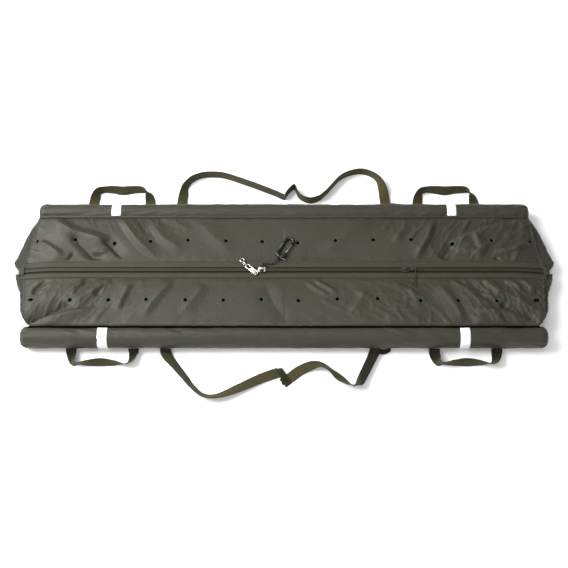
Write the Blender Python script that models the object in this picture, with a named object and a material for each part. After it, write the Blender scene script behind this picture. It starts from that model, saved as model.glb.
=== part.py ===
"""Flotation weigh sling, zipped shut and laid flat, as separate named pieces at real size.

Frame: X runs along the floats, Y points to the far side and Z is up. The origin is on the ground
under the middle of the sling. Lengths are in metres and angles in degrees.
"""

import math

import bmesh
import bpy
import numpy as np
from mathutils import Matrix, Vector

# Clearances
GAP = 0.0003  # between pieces that touch
OVERRUN = 0.003  # how far a cutter passes its cut
GROUND_GAP = 0.0005  # under webbing that lies on the ground

# Floats
FLOAT_LENGTH = 1.200
FLOAT_DIAMETER = 0.050
FLOAT_CENTRES = 0.337
FLOAT_SIDES = 24
SLEEVE_WALL = 0.0010
SLEEVE_SHOULDER = 0.014  # length of the rounded end
FLOAT_MOUTH_SHARE = 0.56  # radius of the sleeve's gathered mouth to the float's radius
FLOAT_CAP_THICKNESS = 0.003
SEAM_ANGLE = 45.0  # the seam with the cover, up from the float's inner side

# Reflective bands
BAND_END_DISTANCE = 0.188  # from a float's end
BAND_OFFSET = FLOAT_LENGTH / 2 - BAND_END_DISTANCE
BAND_WIDTH = 0.026
BAND_THICKNESS = 0.0005

# Covers
COVER_THICKNESS = 0.0014
COVER_OVERHANG = 0.016  # how far the covers run out past the floats at the zip
COVER_END_SLANT = 0.019  # how much shorter each end is at the seam
COVER_HALF_AT_ZIP = FLOAT_LENGTH / 2 + COVER_OVERHANG
COVER_HALF_AT_SEAM = COVER_HALF_AT_ZIP - COVER_END_SLANT
COVER_CROWN = 0.0035  # how far the cover bellies up between its seams
COVER_END_DROOP = 0.005
COVER_DROOP_LENGTH = 0.060
COVER_ROWS = 6
DROOP_SHARES = (0, 0.25, 0.5, 0.75, 1, 1.2)  # where the drooping ends bend
HOLE_DIAMETER = 0.007
HOLE_END_INSET = 0.0232  # from the covers' ends at the zip to the last holes
HOLES_PER_ROW = 14
HOLE_PITCH = 2 * (COVER_HALF_AT_ZIP - HOLE_END_INSET) / (HOLES_PER_ROW - 1)
HOLE_ROW = 0.0805  # distance of each row of drain holes from the zip's middle
HOLE_SIDES = 10

# Zip
COIL_WIDTH = 0.011
COIL_HEIGHT = 0.0030
ZIP_OVERHANG = 0.006  # how far the zip runs out past the covers' ends
COIL_HALF = COVER_HALF_AT_ZIP + ZIP_OVERHANG
TAPE_WIDTH = 0.0155
TAPE_THICKNESS = 0.0010
ZIP_TAB_LENGTH = 0.014
ZIP_TAB_WIDTH = 0.022
ZIP_TAB_THICKNESS = 0.0022

# Folded bag under the covers
BELLY_SIDE_CLEARANCE = 0.0018
BELLY_END_INSET = 0.005  # from the covers' ends at the seam
BELLY_HALF = COVER_HALF_AT_SEAM - BELLY_END_INSET
BELLY_CORNER = 0.008
BELLY_GROUND_HALF_SHARE = 0.93  # half width on the ground to the half width above it

# Mesh ends
MESH_OVERHANG = 0.031  # how far a mesh end's tip runs out past the covers at the zip
MESH_REACH = COVER_HALF_AT_ZIP + MESH_OVERHANG
MESH_TIP_THICKNESS = 0.010
MESH_ZIP_GAP = 0.0060  # half the notch between the two mesh lobes of one end
BINDING_WIDTH = 0.006
BINDING_THICKNESS = 0.0026
# Plan of the far mesh lobe, from the zip to the float: how far along the end it is, as a share of
# the width from zip to seam, and how far it reaches out, as a share of MESH_REACH.
MESH_FAR_PLAN_SHARES = ((0.0, 0.984), (0.07, 0.996), (0.18, 0.997), (0.42, 0.976), (0.70, 0.955), (0.93, 0.930))
MESH_NEAR_PLAN_SHARES = ((0.0, 0.972), (0.08, 0.978), (0.26, 0.974), (0.50, 0.952), (0.74, 0.944), (0.93, 0.928))

# Webbing
WEBBING_WIDTH = 0.025
WEBBING_THICKNESS = 0.0016
WEBBING_BACKSET = 0.0006  # how far sewn webbing starts behind its hinge line
ANCHOR_ANGLE = -30.0  # where the webbing leaves the float, from its outer side
CURVE_STEPS = 4  # points that the smooth curve adds for each route point

# Short handles. A route's rows are: place along the handle and out from the float, as shares of half the
# leg spacing and of the reach, then the webbing's lean from flat and its least height as a share of its hinge's.
HANDLE_LEG_SPACING = 0.1435
HANDLE_END_DISTANCE_FAR = 0.195  # from a float's end to a handle's middle
HANDLE_END_DISTANCE_NEAR = 0.183
HANDLE_REACH_FAR = 0.083  # how far a handle lies out from its float's axis
HANDLE_REACH_NEAR = 0.057
HANDLE_CENTRES = {
    1: FLOAT_LENGTH / 2 - HANDLE_END_DISTANCE_FAR,
    -1: FLOAT_LENGTH / 2 - HANDLE_END_DISTANCE_NEAR,
}
HANDLE_REACHES = {1: HANDLE_REACH_FAR, -1: HANDLE_REACH_NEAR}
HANDLE_ROUTE_SHARES = (
    (-1.00, 0.00, 0, 1.0),
    (-1.00, 0.16, 0, 0.78),
    (-0.99, 0.38, 4, 0.34),
    (-0.95, 0.66, 28, 0),
    (-0.86, 0.90, 66, 0),
    (-0.68, 1.00, 84, 0),
    (-0.36, 1.00, 74, 0),
    (0.00, 0.96, 62, 0),
    (0.36, 1.00, 74, 0),
    (0.68, 1.00, 84, 0),
    (0.86, 0.90, 114, 0),
    (0.95, 0.66, 152, 0),
    (0.99, 0.38, 176, 0.34),
    (1.00, 0.16, 180, 0.78),
    (1.00, 0.00, 180, 1.0),
)

# Long weighing straps. Each route is a left run, the folded loop and a right run. A row holds the place
# along the float and out from its middle line, as shares of the half span and the reach, then as above.
STRAP_HALF_SPAN = 0.257
STRAP_REACH_FAR = 0.135
STRAP_REACH_NEAR = 0.140
STRAP_REACHES = {1: STRAP_REACH_FAR, -1: STRAP_REACH_NEAR}
FAR_LEFT_SHARES = (
    (-1.000, 0.000, 0, 1.0),
    (-1.000, 0.079, 0, 0.7),
    (-0.992, 0.230, 6, 0.28),
    (-0.982, 0.434, 30, 0),
    (-0.958, 0.663, 66, 0),
    (-0.885, 0.856, 84, 0),
    (-0.780, 0.946, 88, 0),
    (-0.680, 0.954, 88, 0),
    (-0.582, 0.922, 87, 0),
    (-0.400, 0.759, 86, 0),
    (-0.200, 0.561, 86, 0),
    (-0.090, 0.445, 87, 0),
    (0.000, 0.335, 88, 0),
)
FAR_LOOP_SHARES = (
    (0.0053, 0.335, 90, 0),
    (0.025, 0.420, 90, 0),
    (0.060, 0.535, 90, 0),
    (0.088, 0.605, 90, 0),
    (0.108, 0.605, 90, 0),
    (0.122, 0.530, 90, 0),
    (0.134, 0.434, 90, 0),
)
FAR_RIGHT_SHARES = (
    (0.1356, 0.427, 90, 0),
    (0.158, 0.350, 90, 0),
    (0.203, 0.282, 88, 0),
    (0.265, 0.248, 86, 0),
    (0.345, 0.320, 90, 0),
    (0.430, 0.518, 92, 0),
    (0.520, 0.783, 92, 0),
    (0.605, 0.946, 92, 0),
    (0.740, 1.042, 90, 0),
    (0.850, 0.982, 88, 0),
    (0.925, 0.831, 74, 0),
    (0.965, 0.615, 40, 0),
    (0.980, 0.398, 12, 0),
    (0.986, 0.230, 3, 0.28),
    (0.986, 0.079, 0, 0.7),
    (0.986, 0.000, 0, 1.0),
)
NEAR_LEFT_SHARES = (
    (-1.058, 0.000, 0, 1.0),
    (-1.058, 0.050, 0, 0.8),
    (-1.050, 0.110, 0, 0.55),
    (-1.018, 0.185, 0, 0.3),
    (-0.958, 0.283, -6, 0),
    (-0.885, 0.522, -26, 0),
    (-0.805, 0.797, -46, 0),
    (-0.705, 0.982, -42, 0),
    (-0.580, 0.976, -22, 0),
    (-0.420, 0.821, -8, 0),
    (-0.200, 0.594, -3, 0),
    (-0.050, 0.468, 0, 0),
)
NEAR_LOOP_SHARES = (
    (-0.044, 0.402, 0, 0.27),
    (-0.012, 0.510, 0, 0.28),
    (0.016, 0.629, 0, 0.28),
    (0.030, 0.737, 0, 0.27),
)
NEAR_RIGHT_SHARES = (
    (-0.012, 0.699, 0, 0),
    (0.060, 0.570, 0, 0),
    (0.145, 0.426, -2, 0),
    (0.250, 0.325, -12, 0),
    (0.335, 0.337, -40, 0),
    (0.410, 0.444, -52, 0),
    (0.490, 0.600, -34, 0),
    (0.565, 0.737, -56, 0),
    (0.622, 0.779, -72, 0),
    (0.668, 0.725, -40, 0),
    (0.700, 0.582, -8, 0),
    (0.745, 0.343, 0, 0),
    (0.787, 0.190, 0, 0.3),
    (0.809, 0.110, 0, 0.55),
    (0.817, 0.050, 0, 0.8),
    (0.817, 0.000, 0, 1.0),
)
STRAP_SHARES = {
    1: (FAR_LEFT_SHARES, FAR_LOOP_SHARES, FAR_RIGHT_SHARES),
    -1: (NEAR_LEFT_SHARES, NEAR_LOOP_SHARES, NEAR_RIGHT_SHARES),
}

# Zip hardware
SLIDER_LENGTH = 0.018
SLIDER_WIDTH = 0.0140
SLIDER_PLATE = 0.0014
SLIDER_BRIDGE_HEIGHT = 0.0060
SLIDER_BRIDGE_WIDTH = 0.0044
SLIDER_BRIDGE_WALL = 0.0014
SLIDER_BRIDGE_HALF = 0.0065
SLIDER_ONE_PLACE = -0.0525
SLIDER_TWO_PLACE = 0.2875
PULL_LENGTH = 0.022
PULL_WIDTH = 0.0088
PULL_THICKNESS = 0.0014
PULL_WALL = 0.0016
PULL_SLOT = 0.0065
PULL_HOLE = 0.0036
PULL_HOLE_PLACE = 0.0070  # from the tab's middle
PULL_CORD_DIAMETER = 0.0022
PULL_CORD_REACH = 0.048

HOOK_EYE = (-0.0862, 0.0075)
HOOK_NOSE = (-0.0672, -0.0100)
HOOK_WIDTH = 0.0110
HOOK_THICKNESS = 0.0036
HOOK_WALL = 0.0022
HOOK_BOLT_WIDTH = 0.0040
HOOK_RING_RADIUS = 0.0046
HOOK_RING_WIRE = 0.0016

CLIP_FOOT = (-0.0130, 0.0320)
CLIP_TIP = (0.0190, 0.0850)
CLIP_WIDTH = 0.024
CLIP_ROD = 0.0050
CLIP_GATE = 0.0042
CLIP_GATE_LOW = -0.012  # the gate's ends along the clip, from its middle
CLIP_GATE_HIGH = 0.016
SWIVEL_LENGTH = 0.007
SWIVEL_DIAMETER = 0.0064
SWIVEL_SHARES = ((0, 0.25), (0.12, 0.72), (0.35, 0.98), (0.65, 0.98), (0.88, 0.72), (1, 0.25))

CORD_DIAMETER = 0.0030
KNOT_DIAMETER = 0.0062

FLOAT_RADIUS = FLOAT_DIAMETER / 2
FLOAT_AXIS_Z = FLOAT_RADIUS + GAP + BAND_THICKNESS
SEAM_Y = FLOAT_CENTRES / 2 - FLOAT_RADIUS * math.cos(math.radians(SEAM_ANGLE))
SEAM_Z = FLOAT_AXIS_Z + FLOAT_RADIUS * math.sin(math.radians(SEAM_ANGLE))
COVER_OUTER = SEAM_Y - COVER_THICKNESS / 2 - 2 * GAP
COVER_INNER = COIL_WIDTH / 2 + GAP + TAPE_WIDTH + GAP
ANCHOR_RADIUS = FLOAT_RADIUS + GAP + WEBBING_THICKNESS / 2
ANCHOR_Y = FLOAT_CENTRES / 2 + ANCHOR_RADIUS * math.cos(math.radians(ANCHOR_ANGLE))
ANCHOR_Z = FLOAT_AXIS_Z + ANCHOR_RADIUS * math.sin(math.radians(ANCHOR_ANGLE))
COIL_TOP = SEAM_Z - COVER_THICKNESS / 2 + COIL_HEIGHT
SLIDER_TOP = COIL_TOP + GAP + SLIDER_PLATE
PULL_AXIS_X = SLIDER_TWO_PLACE + SLIDER_BRIDGE_HALF - 2 * SLIDER_BRIDGE_WALL - GAP
PULL_AXIS_Z = SLIDER_TOP + PULL_WALL
HOOK_HEIGHT = COIL_TOP + GAP + HOOK_THICKNESS / 2
CLIP_HEIGHT = SEAM_Z + COVER_CROWN + COVER_THICKNESS / 2 + GAP + CLIP_ROD / 2
CLIP_LENGTH = (Vector(CLIP_TIP) - Vector(CLIP_FOOT)).length
CLIP_ALONG = (Vector(CLIP_TIP) - Vector(CLIP_FOOT)).normalized()
CORD_END = Vector(CLIP_FOOT) - CLIP_ALONG * (SWIVEL_LENGTH + 3 * GAP)
SWIVEL_MIDDLE = Vector(CLIP_FOOT) - CLIP_ALONG * (SWIVEL_LENGTH / 2 + GAP)
HOOK_ALONG = (Vector((*HOOK_NOSE, 0)) - Vector((*HOOK_EYE, 0))).normalized()
HOOK_RING_CENTRE = Vector((*HOOK_EYE, HOOK_HEIGHT)) - HOOK_ALONG * (
    HOOK_WIDTH / 2 + HOOK_RING_RADIUS + HOOK_RING_WIRE / 2 + GAP
)

FAR, NEAR = 1, -1
LEFT, RIGHT = -1, 1
SIDE_NAMES = {FAR: "far", NEAR: "near"}
END_NAMES = {LEFT: "left", RIGHT: "right"}


def clear_scene():
    """Remove what the file opens with."""
    for old in list(bpy.data.objects):
        bpy.data.objects.remove(old, do_unlink=True)


def material(name, colour, roughness, metallic=0.0):
    """A Principled material, made once for each name."""
    found = bpy.data.materials.get(name)
    if found:
        return found
    made = bpy.data.materials.new(name)
    made.use_nodes = True
    shader = made.node_tree.nodes["Principled BSDF"]
    shader.inputs["Base Color"].default_value = (*colour, 1.0)
    shader.inputs["Roughness"].default_value = roughness
    shader.inputs["Metallic"].default_value = metallic
    made.diffuse_color = (*colour, 1.0)
    return made


FINISHES = {
    "coated_cloth": ((0.115, 0.112, 0.096), 0.55, 0.0),
    "belly_cloth": ((0.090, 0.088, 0.075), 0.65, 0.0),
    "end_mesh": ((0.035, 0.036, 0.030), 0.80, 0.0),
    "zip_tape": ((0.098, 0.089, 0.048), 0.80, 0.0),
    "zip_coil": ((0.045, 0.043, 0.030), 0.45, 0.0),
    "webbing": ((0.155, 0.144, 0.086), 0.75, 0.0),
    "reflective": ((0.86, 0.87, 0.88), 0.35, 0.0),
    "foam": ((0.05, 0.05, 0.05), 0.90, 0.0),
    "nickel": ((0.72, 0.71, 0.68), 0.22, 1.0),
    "dark_metal": ((0.050, 0.048, 0.035), 0.40, 1.0),
    "black_plastic": ((0.012, 0.012, 0.013), 0.38, 0.0),
    "black_cord": ((0.014, 0.014, 0.015), 0.85, 0.0),
}


def pivot(name, place, parent=None):
    """An empty at a joint's axis, which carries the pieces that turn or slide with it."""
    empty = bpy.data.objects.new(name, None)
    bpy.context.scene.collection.objects.link(empty)
    empty.parent = parent
    at = Vector(place)
    empty.location = at - world_place(parent) if parent else at
    return empty


def world_place(empty):
    """Where an unturned empty stands in the world."""
    total = Vector((0, 0, 0))
    while empty:
        total += empty.location
        empty = empty.parent
    return total


def piece(name, bm, finish, carrier, sharp=35.0):
    """Turn a bmesh in world coordinates into a named object on its carrier."""
    bmesh.ops.recalc_face_normals(bm, faces=bm.faces)
    bmesh.ops.translate(bm, verts=bm.verts, vec=-world_place(carrier))
    mesh = bpy.data.meshes.new(name)
    bm.to_mesh(mesh)
    bm.free()
    mesh.shade_smooth()
    mesh.set_sharp_from_angle(angle=math.radians(sharp))
    obj = bpy.data.objects.new(name, mesh)
    bpy.context.scene.collection.objects.link(obj)
    obj.parent = carrier
    mesh.materials.append(material(finish, *FINISHES[finish]))
    return obj


def cut(obj, cutter_bm, carrier, name):
    """Subtract a cutter from an object."""
    cutter = piece(name, cutter_bm, "foam", carrier)
    cutter.hide_render = True
    cutter.display_type = "WIRE"
    made = obj.modifiers.new(name, "BOOLEAN")
    made.operation = "DIFFERENCE"
    made.solver = "EXACT"
    made.object = cutter
    return obj


def loft(bm, rings, closed=False):
    """Skin rings of equally many points, each a closed outline, and cap the first and the last."""
    made = [[bm.verts.new(p) for p in ring] for ring in rings]
    count = len(made[0])
    pairs = list(zip(made, made[1:]))
    if closed:
        pairs.append((made[-1], made[0]))
    for one, two in pairs:
        for i in range(count):
            j = (i + 1) % count
            bm.faces.new((one[i], one[j], two[j], two[i]))
    if not closed:
        bm.faces.new(list(reversed(made[0])))
        bm.faces.new(made[-1])
    return bm


def smooth_route(points, steps=CURVE_STEPS):
    """A smooth curve through rows of numbers, which may hold more than a place."""
    p = np.array(points, float)
    p = np.vstack([2 * p[0] - p[1], p, 2 * p[-1] - p[-2]])
    rows = []
    for a, b, c, d in zip(p, p[1:], p[2:], p[3:]):
        for t in np.arange(steps) / steps:
            rows.append(
                0.5 * (2 * b + (c - a) * t + (2 * a - 5 * b + 4 * c - d) * t**2 + (3 * b - 3 * c + d - a) * t**3)
            )
    rows.append(p[-2])
    return np.array(rows)


# Shapes of the covers and what lies under them
def cover_height(y_share, x, crowned=True):
    """Height of the cover's middle sheet, from 0 at the zip to 1 at the seam."""
    crown = COVER_CROWN * math.sin(math.pi * min(max(y_share, 0.0), 1.0)) * crowned
    into_end = max(0.0, abs(x) - (COVER_HALF_AT_SEAM - COVER_DROOP_LENGTH)) / COVER_DROOP_LENGTH
    droop = COVER_END_DROOP * min(into_end, 1.2) ** 2 * (1 - min(max(y_share, 0.0), 1.0) ** 2)
    return SEAM_Z + crown * (1 - min(into_end, 1.0) ** 2) - droop


def cover_end(y_share):
    """Half length of the cover at a share of the way from the zip to the seam."""
    return COVER_HALF_AT_ZIP + (COVER_HALF_AT_SEAM - COVER_HALF_AT_ZIP) * y_share


def cover_y(y_share):
    """Distance from the zip's middle at a share of the way from the zip to the seam."""
    return COVER_INNER + (COVER_OUTER - COVER_INNER) * y_share


COVER_STATION_SHARES = (-1, -0.975, -0.95, -0.92, -0.89, -0.6, -0.3, 0, 0.3, 0.6, 0.89, 0.92, 0.95, 0.975, 1)


def bend_stations(half):
    """Places along the sling where the upper surface bends, out to a piece's ends."""
    start = COVER_HALF_AT_SEAM - COVER_DROOP_LENGTH
    bends = [start + COVER_DROOP_LENGTH * share for share in DROOP_SHARES]
    bends = [x for x in bends if x < half - GAP] + [half]
    return [-x for x in bends[::-1]] + [0.0] + bends


def make_cover(side, carrier):
    """One of the two upper panels, from the float's seam to the zip, with its row of drain holes."""
    bm = bmesh.new()
    rings = []
    shares = [i / COVER_ROWS for i in range(COVER_ROWS + 1)]
    for station in COVER_STATION_SHARES:
        top, bottom = [], []
        for share in shares:
            x = station * cover_end(share)
            z = cover_height(share, x)
            top.append((x, side * cover_y(share), z + COVER_THICKNESS / 2))
            bottom.append((x, side * cover_y(share), z - COVER_THICKNESS / 2))
        rings.append(top + bottom[::-1])
    cover = piece(f"cover_{SIDE_NAMES[side]}", loft(bm, rings), "coated_cloth", carrier)
    holes = bmesh.new()
    depth = COVER_THICKNESS + 2 * (COVER_CROWN + COVER_END_DROOP + OVERRUN)
    for i in range(HOLES_PER_ROW):
        x = (i - (HOLES_PER_ROW - 1) / 2) * HOLE_PITCH
        bmesh.ops.create_cone(
            holes,
            cap_ends=True,
            segments=HOLE_SIDES,
            radius1=HOLE_DIAMETER / 2,
            radius2=HOLE_DIAMETER / 2,
            depth=depth,
            matrix=Matrix.Translation((x, side * HOLE_ROW, SEAM_Z)),
        )
    return cut(cover, holes, carrier, f"drain_holes_{SIDE_NAMES[side]}")


def make_belly(carrier):
    """The bag's cloth, folded flat between the floats under the covers."""
    outer = FLOAT_CENTRES / 2 - FLOAT_RADIUS - BAND_THICKNESS - GAP - BELLY_SIDE_CLEARANCE
    under = COVER_THICKNESS / 2 + GAP
    half = [(outer - BELLY_CORNER) * i / COVER_ROWS for i in range(COVER_ROWS + 1)]
    bm = bmesh.new()
    rings = []
    inset = BELLY_CORNER * 2
    stations = [(x, 0) for x in bend_stations(BELLY_HALF - BELLY_CORNER)]
    for x, small in [(-BELLY_HALF, inset), *stations, (BELLY_HALF, inset)]:
        lower = small / 2
        top = [(x, y, belly_top(y, x) - under - lower) for y in half]
        edge = outer - lower
        waist = [
            (x, edge, FLOAT_RADIUS + BELLY_CORNER - lower),
            (x, edge, BELLY_CORNER + lower),
            (x, outer * BELLY_GROUND_HALF_SHARE - lower, lower / 2),
        ]
        right_side = top + waist
        left_side = [(px, -py, pz) for px, py, pz in right_side[::-1] if py > GAP]
        rings.append(right_side + left_side)
    return piece("bag_belly", loft(bm, rings), "belly_cloth", carrier)


def belly_top(y, x):
    """Height of the covers' middle sheet over a place on either side, without its crown."""
    share = (abs(y) - COVER_INNER) / (COVER_OUTER - COVER_INNER)
    return cover_height(share, x, crowned=False)


def make_mesh_end(side, end, carrier):
    """One lobe of a mesh end, which peeks out past the cover's edge from the zip to the float."""
    plan = MESH_FAR_PLAN_SHARES if side == FAR else MESH_NEAR_PLAN_SHARES
    bm = bmesh.new()
    rings = []
    first = MESH_ZIP_GAP
    for share, reach in plan:
        y = first + (COVER_OUTER - BELLY_CORNER - first) * share
        inner = BELLY_HALF + GAP
        outer = MESH_REACH * reach
        middle = inner + (outer - inner) * 0.5
        roof = belly_top(y, inner) - COVER_THICKNESS / 2 - GAP
        slope_top = roof - (roof - MESH_TIP_THICKNESS) * 0.45
        low = BELLY_CORNER / 2
        rings.append(
            [
                (end * inner, side * y, low),
                (end * inner, side * y, roof - COVER_END_DROOP),
                (end * middle, side * y, slope_top),
                (end * outer, side * y, MESH_TIP_THICKNESS),
                (end * outer, side * y, low),
            ]
        )
    return piece(f"mesh_end_{END_NAMES[end]}_{SIDE_NAMES[side]}", loft(bm, rings), "end_mesh", carrier)


def make_binding(side, end, carrier):
    """The tape that binds a cover's end edge to the mesh."""
    bm = bmesh.new()
    rings = []
    for i in range(COVER_ROWS + 1):
        share = i / COVER_ROWS
        x = cover_end(share) + GAP
        z = cover_height(share, x)
        y = cover_y(share)
        rings.append(
            [
                (end * x, side * y, z - BINDING_THICKNESS / 2),
                (end * x, side * y, z + BINDING_THICKNESS / 2),
                (end * (x + BINDING_WIDTH / 2), side * y, z + BINDING_THICKNESS / 2),
                (end * (x + BINDING_WIDTH / 2), side * y, z - BINDING_THICKNESS / 2),
            ]
        )
    return piece(f"end_binding_{END_NAMES[end]}_{SIDE_NAMES[side]}", loft(bm, rings), "webbing", carrier)


# Zip
def make_zip(carrier):
    """The two tapes, the closed coil between them and a sewn tab at each end."""
    for side in (FAR, NEAR):
        bm = bmesh.new()
        rings = []
        inner = COIL_WIDTH / 2 + GAP
        outer = inner + TAPE_WIDTH
        for x in bend_stations(COIL_HALF - GAP):
            z = cover_height(0, x)
            half = TAPE_THICKNESS / 2
            rings.append(
                [
                    (x, side * inner, z - half),
                    (x, side * inner, z + half),
                    (x, side * outer, z + half),
                    (x, side * outer, z - half),
                ]
            )
        piece(f"zip_tape_{SIDE_NAMES[side]}", loft(bm, rings), "zip_tape", carrier)
    bm = bmesh.new()
    rings = []
    for x in bend_stations(COIL_HALF - ZIP_TAB_LENGTH / 2):
        base = cover_height(0, x) - COVER_THICKNESS / 2
        half = COIL_WIDTH / 2
        rings.append(
            [
                (x, -half, base),
                (x, -half, base + COIL_HEIGHT * 0.6),
                (x, -half * 0.6, base + COIL_HEIGHT),
                (x, half * 0.6, base + COIL_HEIGHT),
                (x, half, base + COIL_HEIGHT * 0.6),
                (x, half, base),
            ]
        )
    piece("zip_coil", loft(bm, rings), "zip_coil", carrier)
    for end in (LEFT, RIGHT):
        inner = COIL_HALF - ZIP_TAB_LENGTH / 2 + GAP
        outer = inner + ZIP_TAB_LENGTH
        low_in = cover_height(0, inner) + TAPE_THICKNESS / 2 + GAP
        low_out = cover_height(0, outer) + TAPE_THICKNESS / 2 + GAP
        bm = bmesh.new()
        rings = []
        for x, low in ((inner, low_in), (outer, low_out)):
            half = ZIP_TAB_WIDTH / 2
            rings.append(
                [
                    (end * x, -half, low),
                    (end * x, -half, low + ZIP_TAB_THICKNESS),
                    (end * x, half, low + ZIP_TAB_THICKNESS),
                    (end * x, half, low),
                ]
            )
        piece(f"zip_end_tab_{END_NAMES[end]}", loft(bm, rings), "webbing", carrier)


# Floats
def turned(bm, profile, side, closed=False, angles=None):
    """Turn a profile of (x, radius) round a float's axis."""
    if angles is None:
        angles = [360 / FLOAT_SIDES * i for i in range(FLOAT_SIDES)]
    rings = []
    for x, radius in profile:
        ring = []
        for angle in angles:
            turn = math.radians(angle)
            y = FLOAT_CENTRES / 2 + radius * math.cos(turn)
            ring.append((x, side * y, FLOAT_AXIS_Z + radius * math.sin(turn)))
        rings.append(ring)
    return loft(bm, rings, closed)


def shoulder(offset=0.0):
    """Half of a sleeve's profile, from its straight middle to its gathered mouth."""
    mouth = FLOAT_RADIUS * FLOAT_MOUTH_SHARE
    points = []
    for angle in (0, 25, 50, 70, 90):
        a = math.radians(angle)
        x = FLOAT_LENGTH / 2 - SLEEVE_SHOULDER * (1 - math.sin(a))
        radius = mouth + (FLOAT_RADIUS - mouth) * math.cos(a)
        points.append((x - offset * math.sin(a), radius - offset * math.cos(a)))
    return points


def arc_strip(bm, x_low, x_high, inner, outer, angles, side):
    """A curved strip that follows the float's surface between two radii."""
    rings = []
    for angle in angles:
        turn = math.radians(angle)
        ring = []
        for x, radius in ((x_low, inner), (x_high, inner), (x_high, outer), (x_low, outer)):
            y = FLOAT_CENTRES / 2 + radius * math.cos(turn)
            ring.append((x, side * y, FLOAT_AXIS_Z + radius * math.sin(turn)))
        rings.append(ring)
    return loft(bm, rings)


def make_float(side, carrier):
    """A foam core in a cloth sleeve with gathered ends and two reflective bands."""
    name = SIDE_NAMES[side]
    outer, inner = shoulder(), shoulder(SLEEVE_WALL)
    profile = [(-x, r) for x, r in outer[::-1]] + outer + inner[::-1] + [(-x, r) for x, r in inner]
    piece(f"float_sleeve_{name}", turned(bmesh.new(), profile, side, closed=True), "coated_cloth", carrier)

    foam_radius = FLOAT_RADIUS - SLEEVE_WALL - GAP
    nose = FLOAT_LENGTH / 2 - FLOAT_CAP_THICKNESS - GAP
    straight = FLOAT_LENGTH / 2 - SLEEVE_SHOULDER - GAP
    nose_radius = FLOAT_RADIUS * FLOAT_MOUTH_SHARE - 2 * GAP
    profile = [(-nose, nose_radius), (-straight, foam_radius), (straight, foam_radius), (nose, nose_radius)]
    piece(f"float_foam_{name}", turned(bmesh.new(), profile, side), "foam", carrier)

    cap_radius = FLOAT_RADIUS * FLOAT_MOUTH_SHARE - GAP
    for end in (LEFT, RIGHT):
        tip = FLOAT_LENGTH / 2
        profile = [(end * (tip - FLOAT_CAP_THICKNESS), cap_radius), (end * tip, cap_radius)]
        profile.append((end * (tip + SLEEVE_WALL), cap_radius / 2))
        bm = turned(bmesh.new(), profile, side)
        piece(f"float_end_{name}_{END_NAMES[end]}", bm, "coated_cloth", carrier)

        low = FLOAT_RADIUS + GAP
        facet = 360 / FLOAT_SIDES
        first = 180 - SEAM_ANGLE + facet
        angles = [first + facet * i for i in range(FLOAT_SIDES - 1)]
        half = BAND_WIDTH / 2
        x = end * BAND_OFFSET
        bm = arc_strip(bmesh.new(), x - half, x + half, low, low + BAND_THICKNESS, angles, side)
        piece(f"reflective_band_{name}_{END_NAMES[end]}", bm, "reflective", carrier)


# Webbing
def rest_height(lean):
    """Height of the middle of webbing that stands on its lower edge at a lean from flat."""
    a = math.radians(lean)
    return GROUND_GAP + WEBBING_WIDTH / 2 * abs(math.sin(a)) + WEBBING_THICKNESS / 2 * abs(math.cos(a))


def ribbon(bm, route, width=WEBBING_WIDTH):
    """Webbing along rows of x, y, lean and least height. The lean is the tilt of its width from flat."""
    rows = smooth_route(route)
    rings = []
    for i, (x, y, lean, lift) in enumerate(rows):
        before, after = rows[max(i - 1, 0)], rows[min(i + 1, len(rows) - 1)]
        heights = [max(rest_height(row[2]), row[3]) for row in (before, after)]
        along = Vector((after[0] - before[0], after[1] - before[1], heights[1] - heights[0])).normalized()
        flat = Vector((-along.y, along.x, 0)).normalized()
        a = math.radians(lean)
        across = flat * math.cos(a) + Vector((0, 0, 1)) * math.sin(a)
        across = (across - along * across.dot(along)).normalized()
        face = along.cross(across)
        middle = Vector((x, y, max(rest_height(lean), lift)))
        w, t = across * width / 2, face * WEBBING_THICKNESS / 2
        rings.append([middle - w - t, middle + w - t, middle + w + t, middle - w + t])
    return loft(bm, rings)


def out_from_hinge(reach, share):
    """Distance from the sling's middle at a share of the way from the webbing's hinge line to its reach."""
    if share == 0:
        return ANCHOR_Y - WEBBING_BACKSET
    return ANCHOR_Y + (FLOAT_CENTRES / 2 + reach - ANCHOR_Y) * share


def handle_route(side, end):
    """A short handle's route: out from the float, along beside it and back."""
    centre = end * HANDLE_CENTRES[side]
    reach = HANDLE_REACHES[side]
    half = HANDLE_LEG_SPACING / 2
    rows = []
    for x_share, y_share, lean, lift_share in HANDLE_ROUTE_SHARES:
        y = out_from_hinge(reach, y_share)
        rows.append((centre + half * x_share * side, side * y, lean, ANCHOR_Z * lift_share))
    return rows


def make_handle(side, end, carrier):
    """A short carrying handle of webbing beside a float."""
    bm = ribbon(bmesh.new(), handle_route(side, end))
    return piece(f"handle_{SIDE_NAMES[side]}_{END_NAMES[end]}", bm, "webbing", carrier, sharp=50)


def strap_rows(side, shares):
    """Rows of a long strap's route in real sizes."""
    rows = []
    for x_share, y_share, lean, lift_share in shares:
        y = out_from_hinge(STRAP_REACHES[side], y_share)
        rows.append((STRAP_HALF_SPAN * x_share, side * y, lean, ANCHOR_Z * lift_share))
    return rows


def make_strap(side, carrier):
    """A long weighing strap: two runs of webbing joined by the folded loop that the scale hooks in."""
    name = SIDE_NAMES[side]
    left, loop, right = STRAP_SHARES[side]
    piece(f"weigh_strap_{name}_left", ribbon(bmesh.new(), strap_rows(side, left)), "webbing", carrier, sharp=50)
    piece(f"weigh_strap_{name}_right", ribbon(bmesh.new(), strap_rows(side, right)), "webbing", carrier, sharp=50)
    piece(f"weigh_loop_{name}", ribbon(bmesh.new(), strap_rows(side, loop)), "webbing", carrier, sharp=50)


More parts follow.
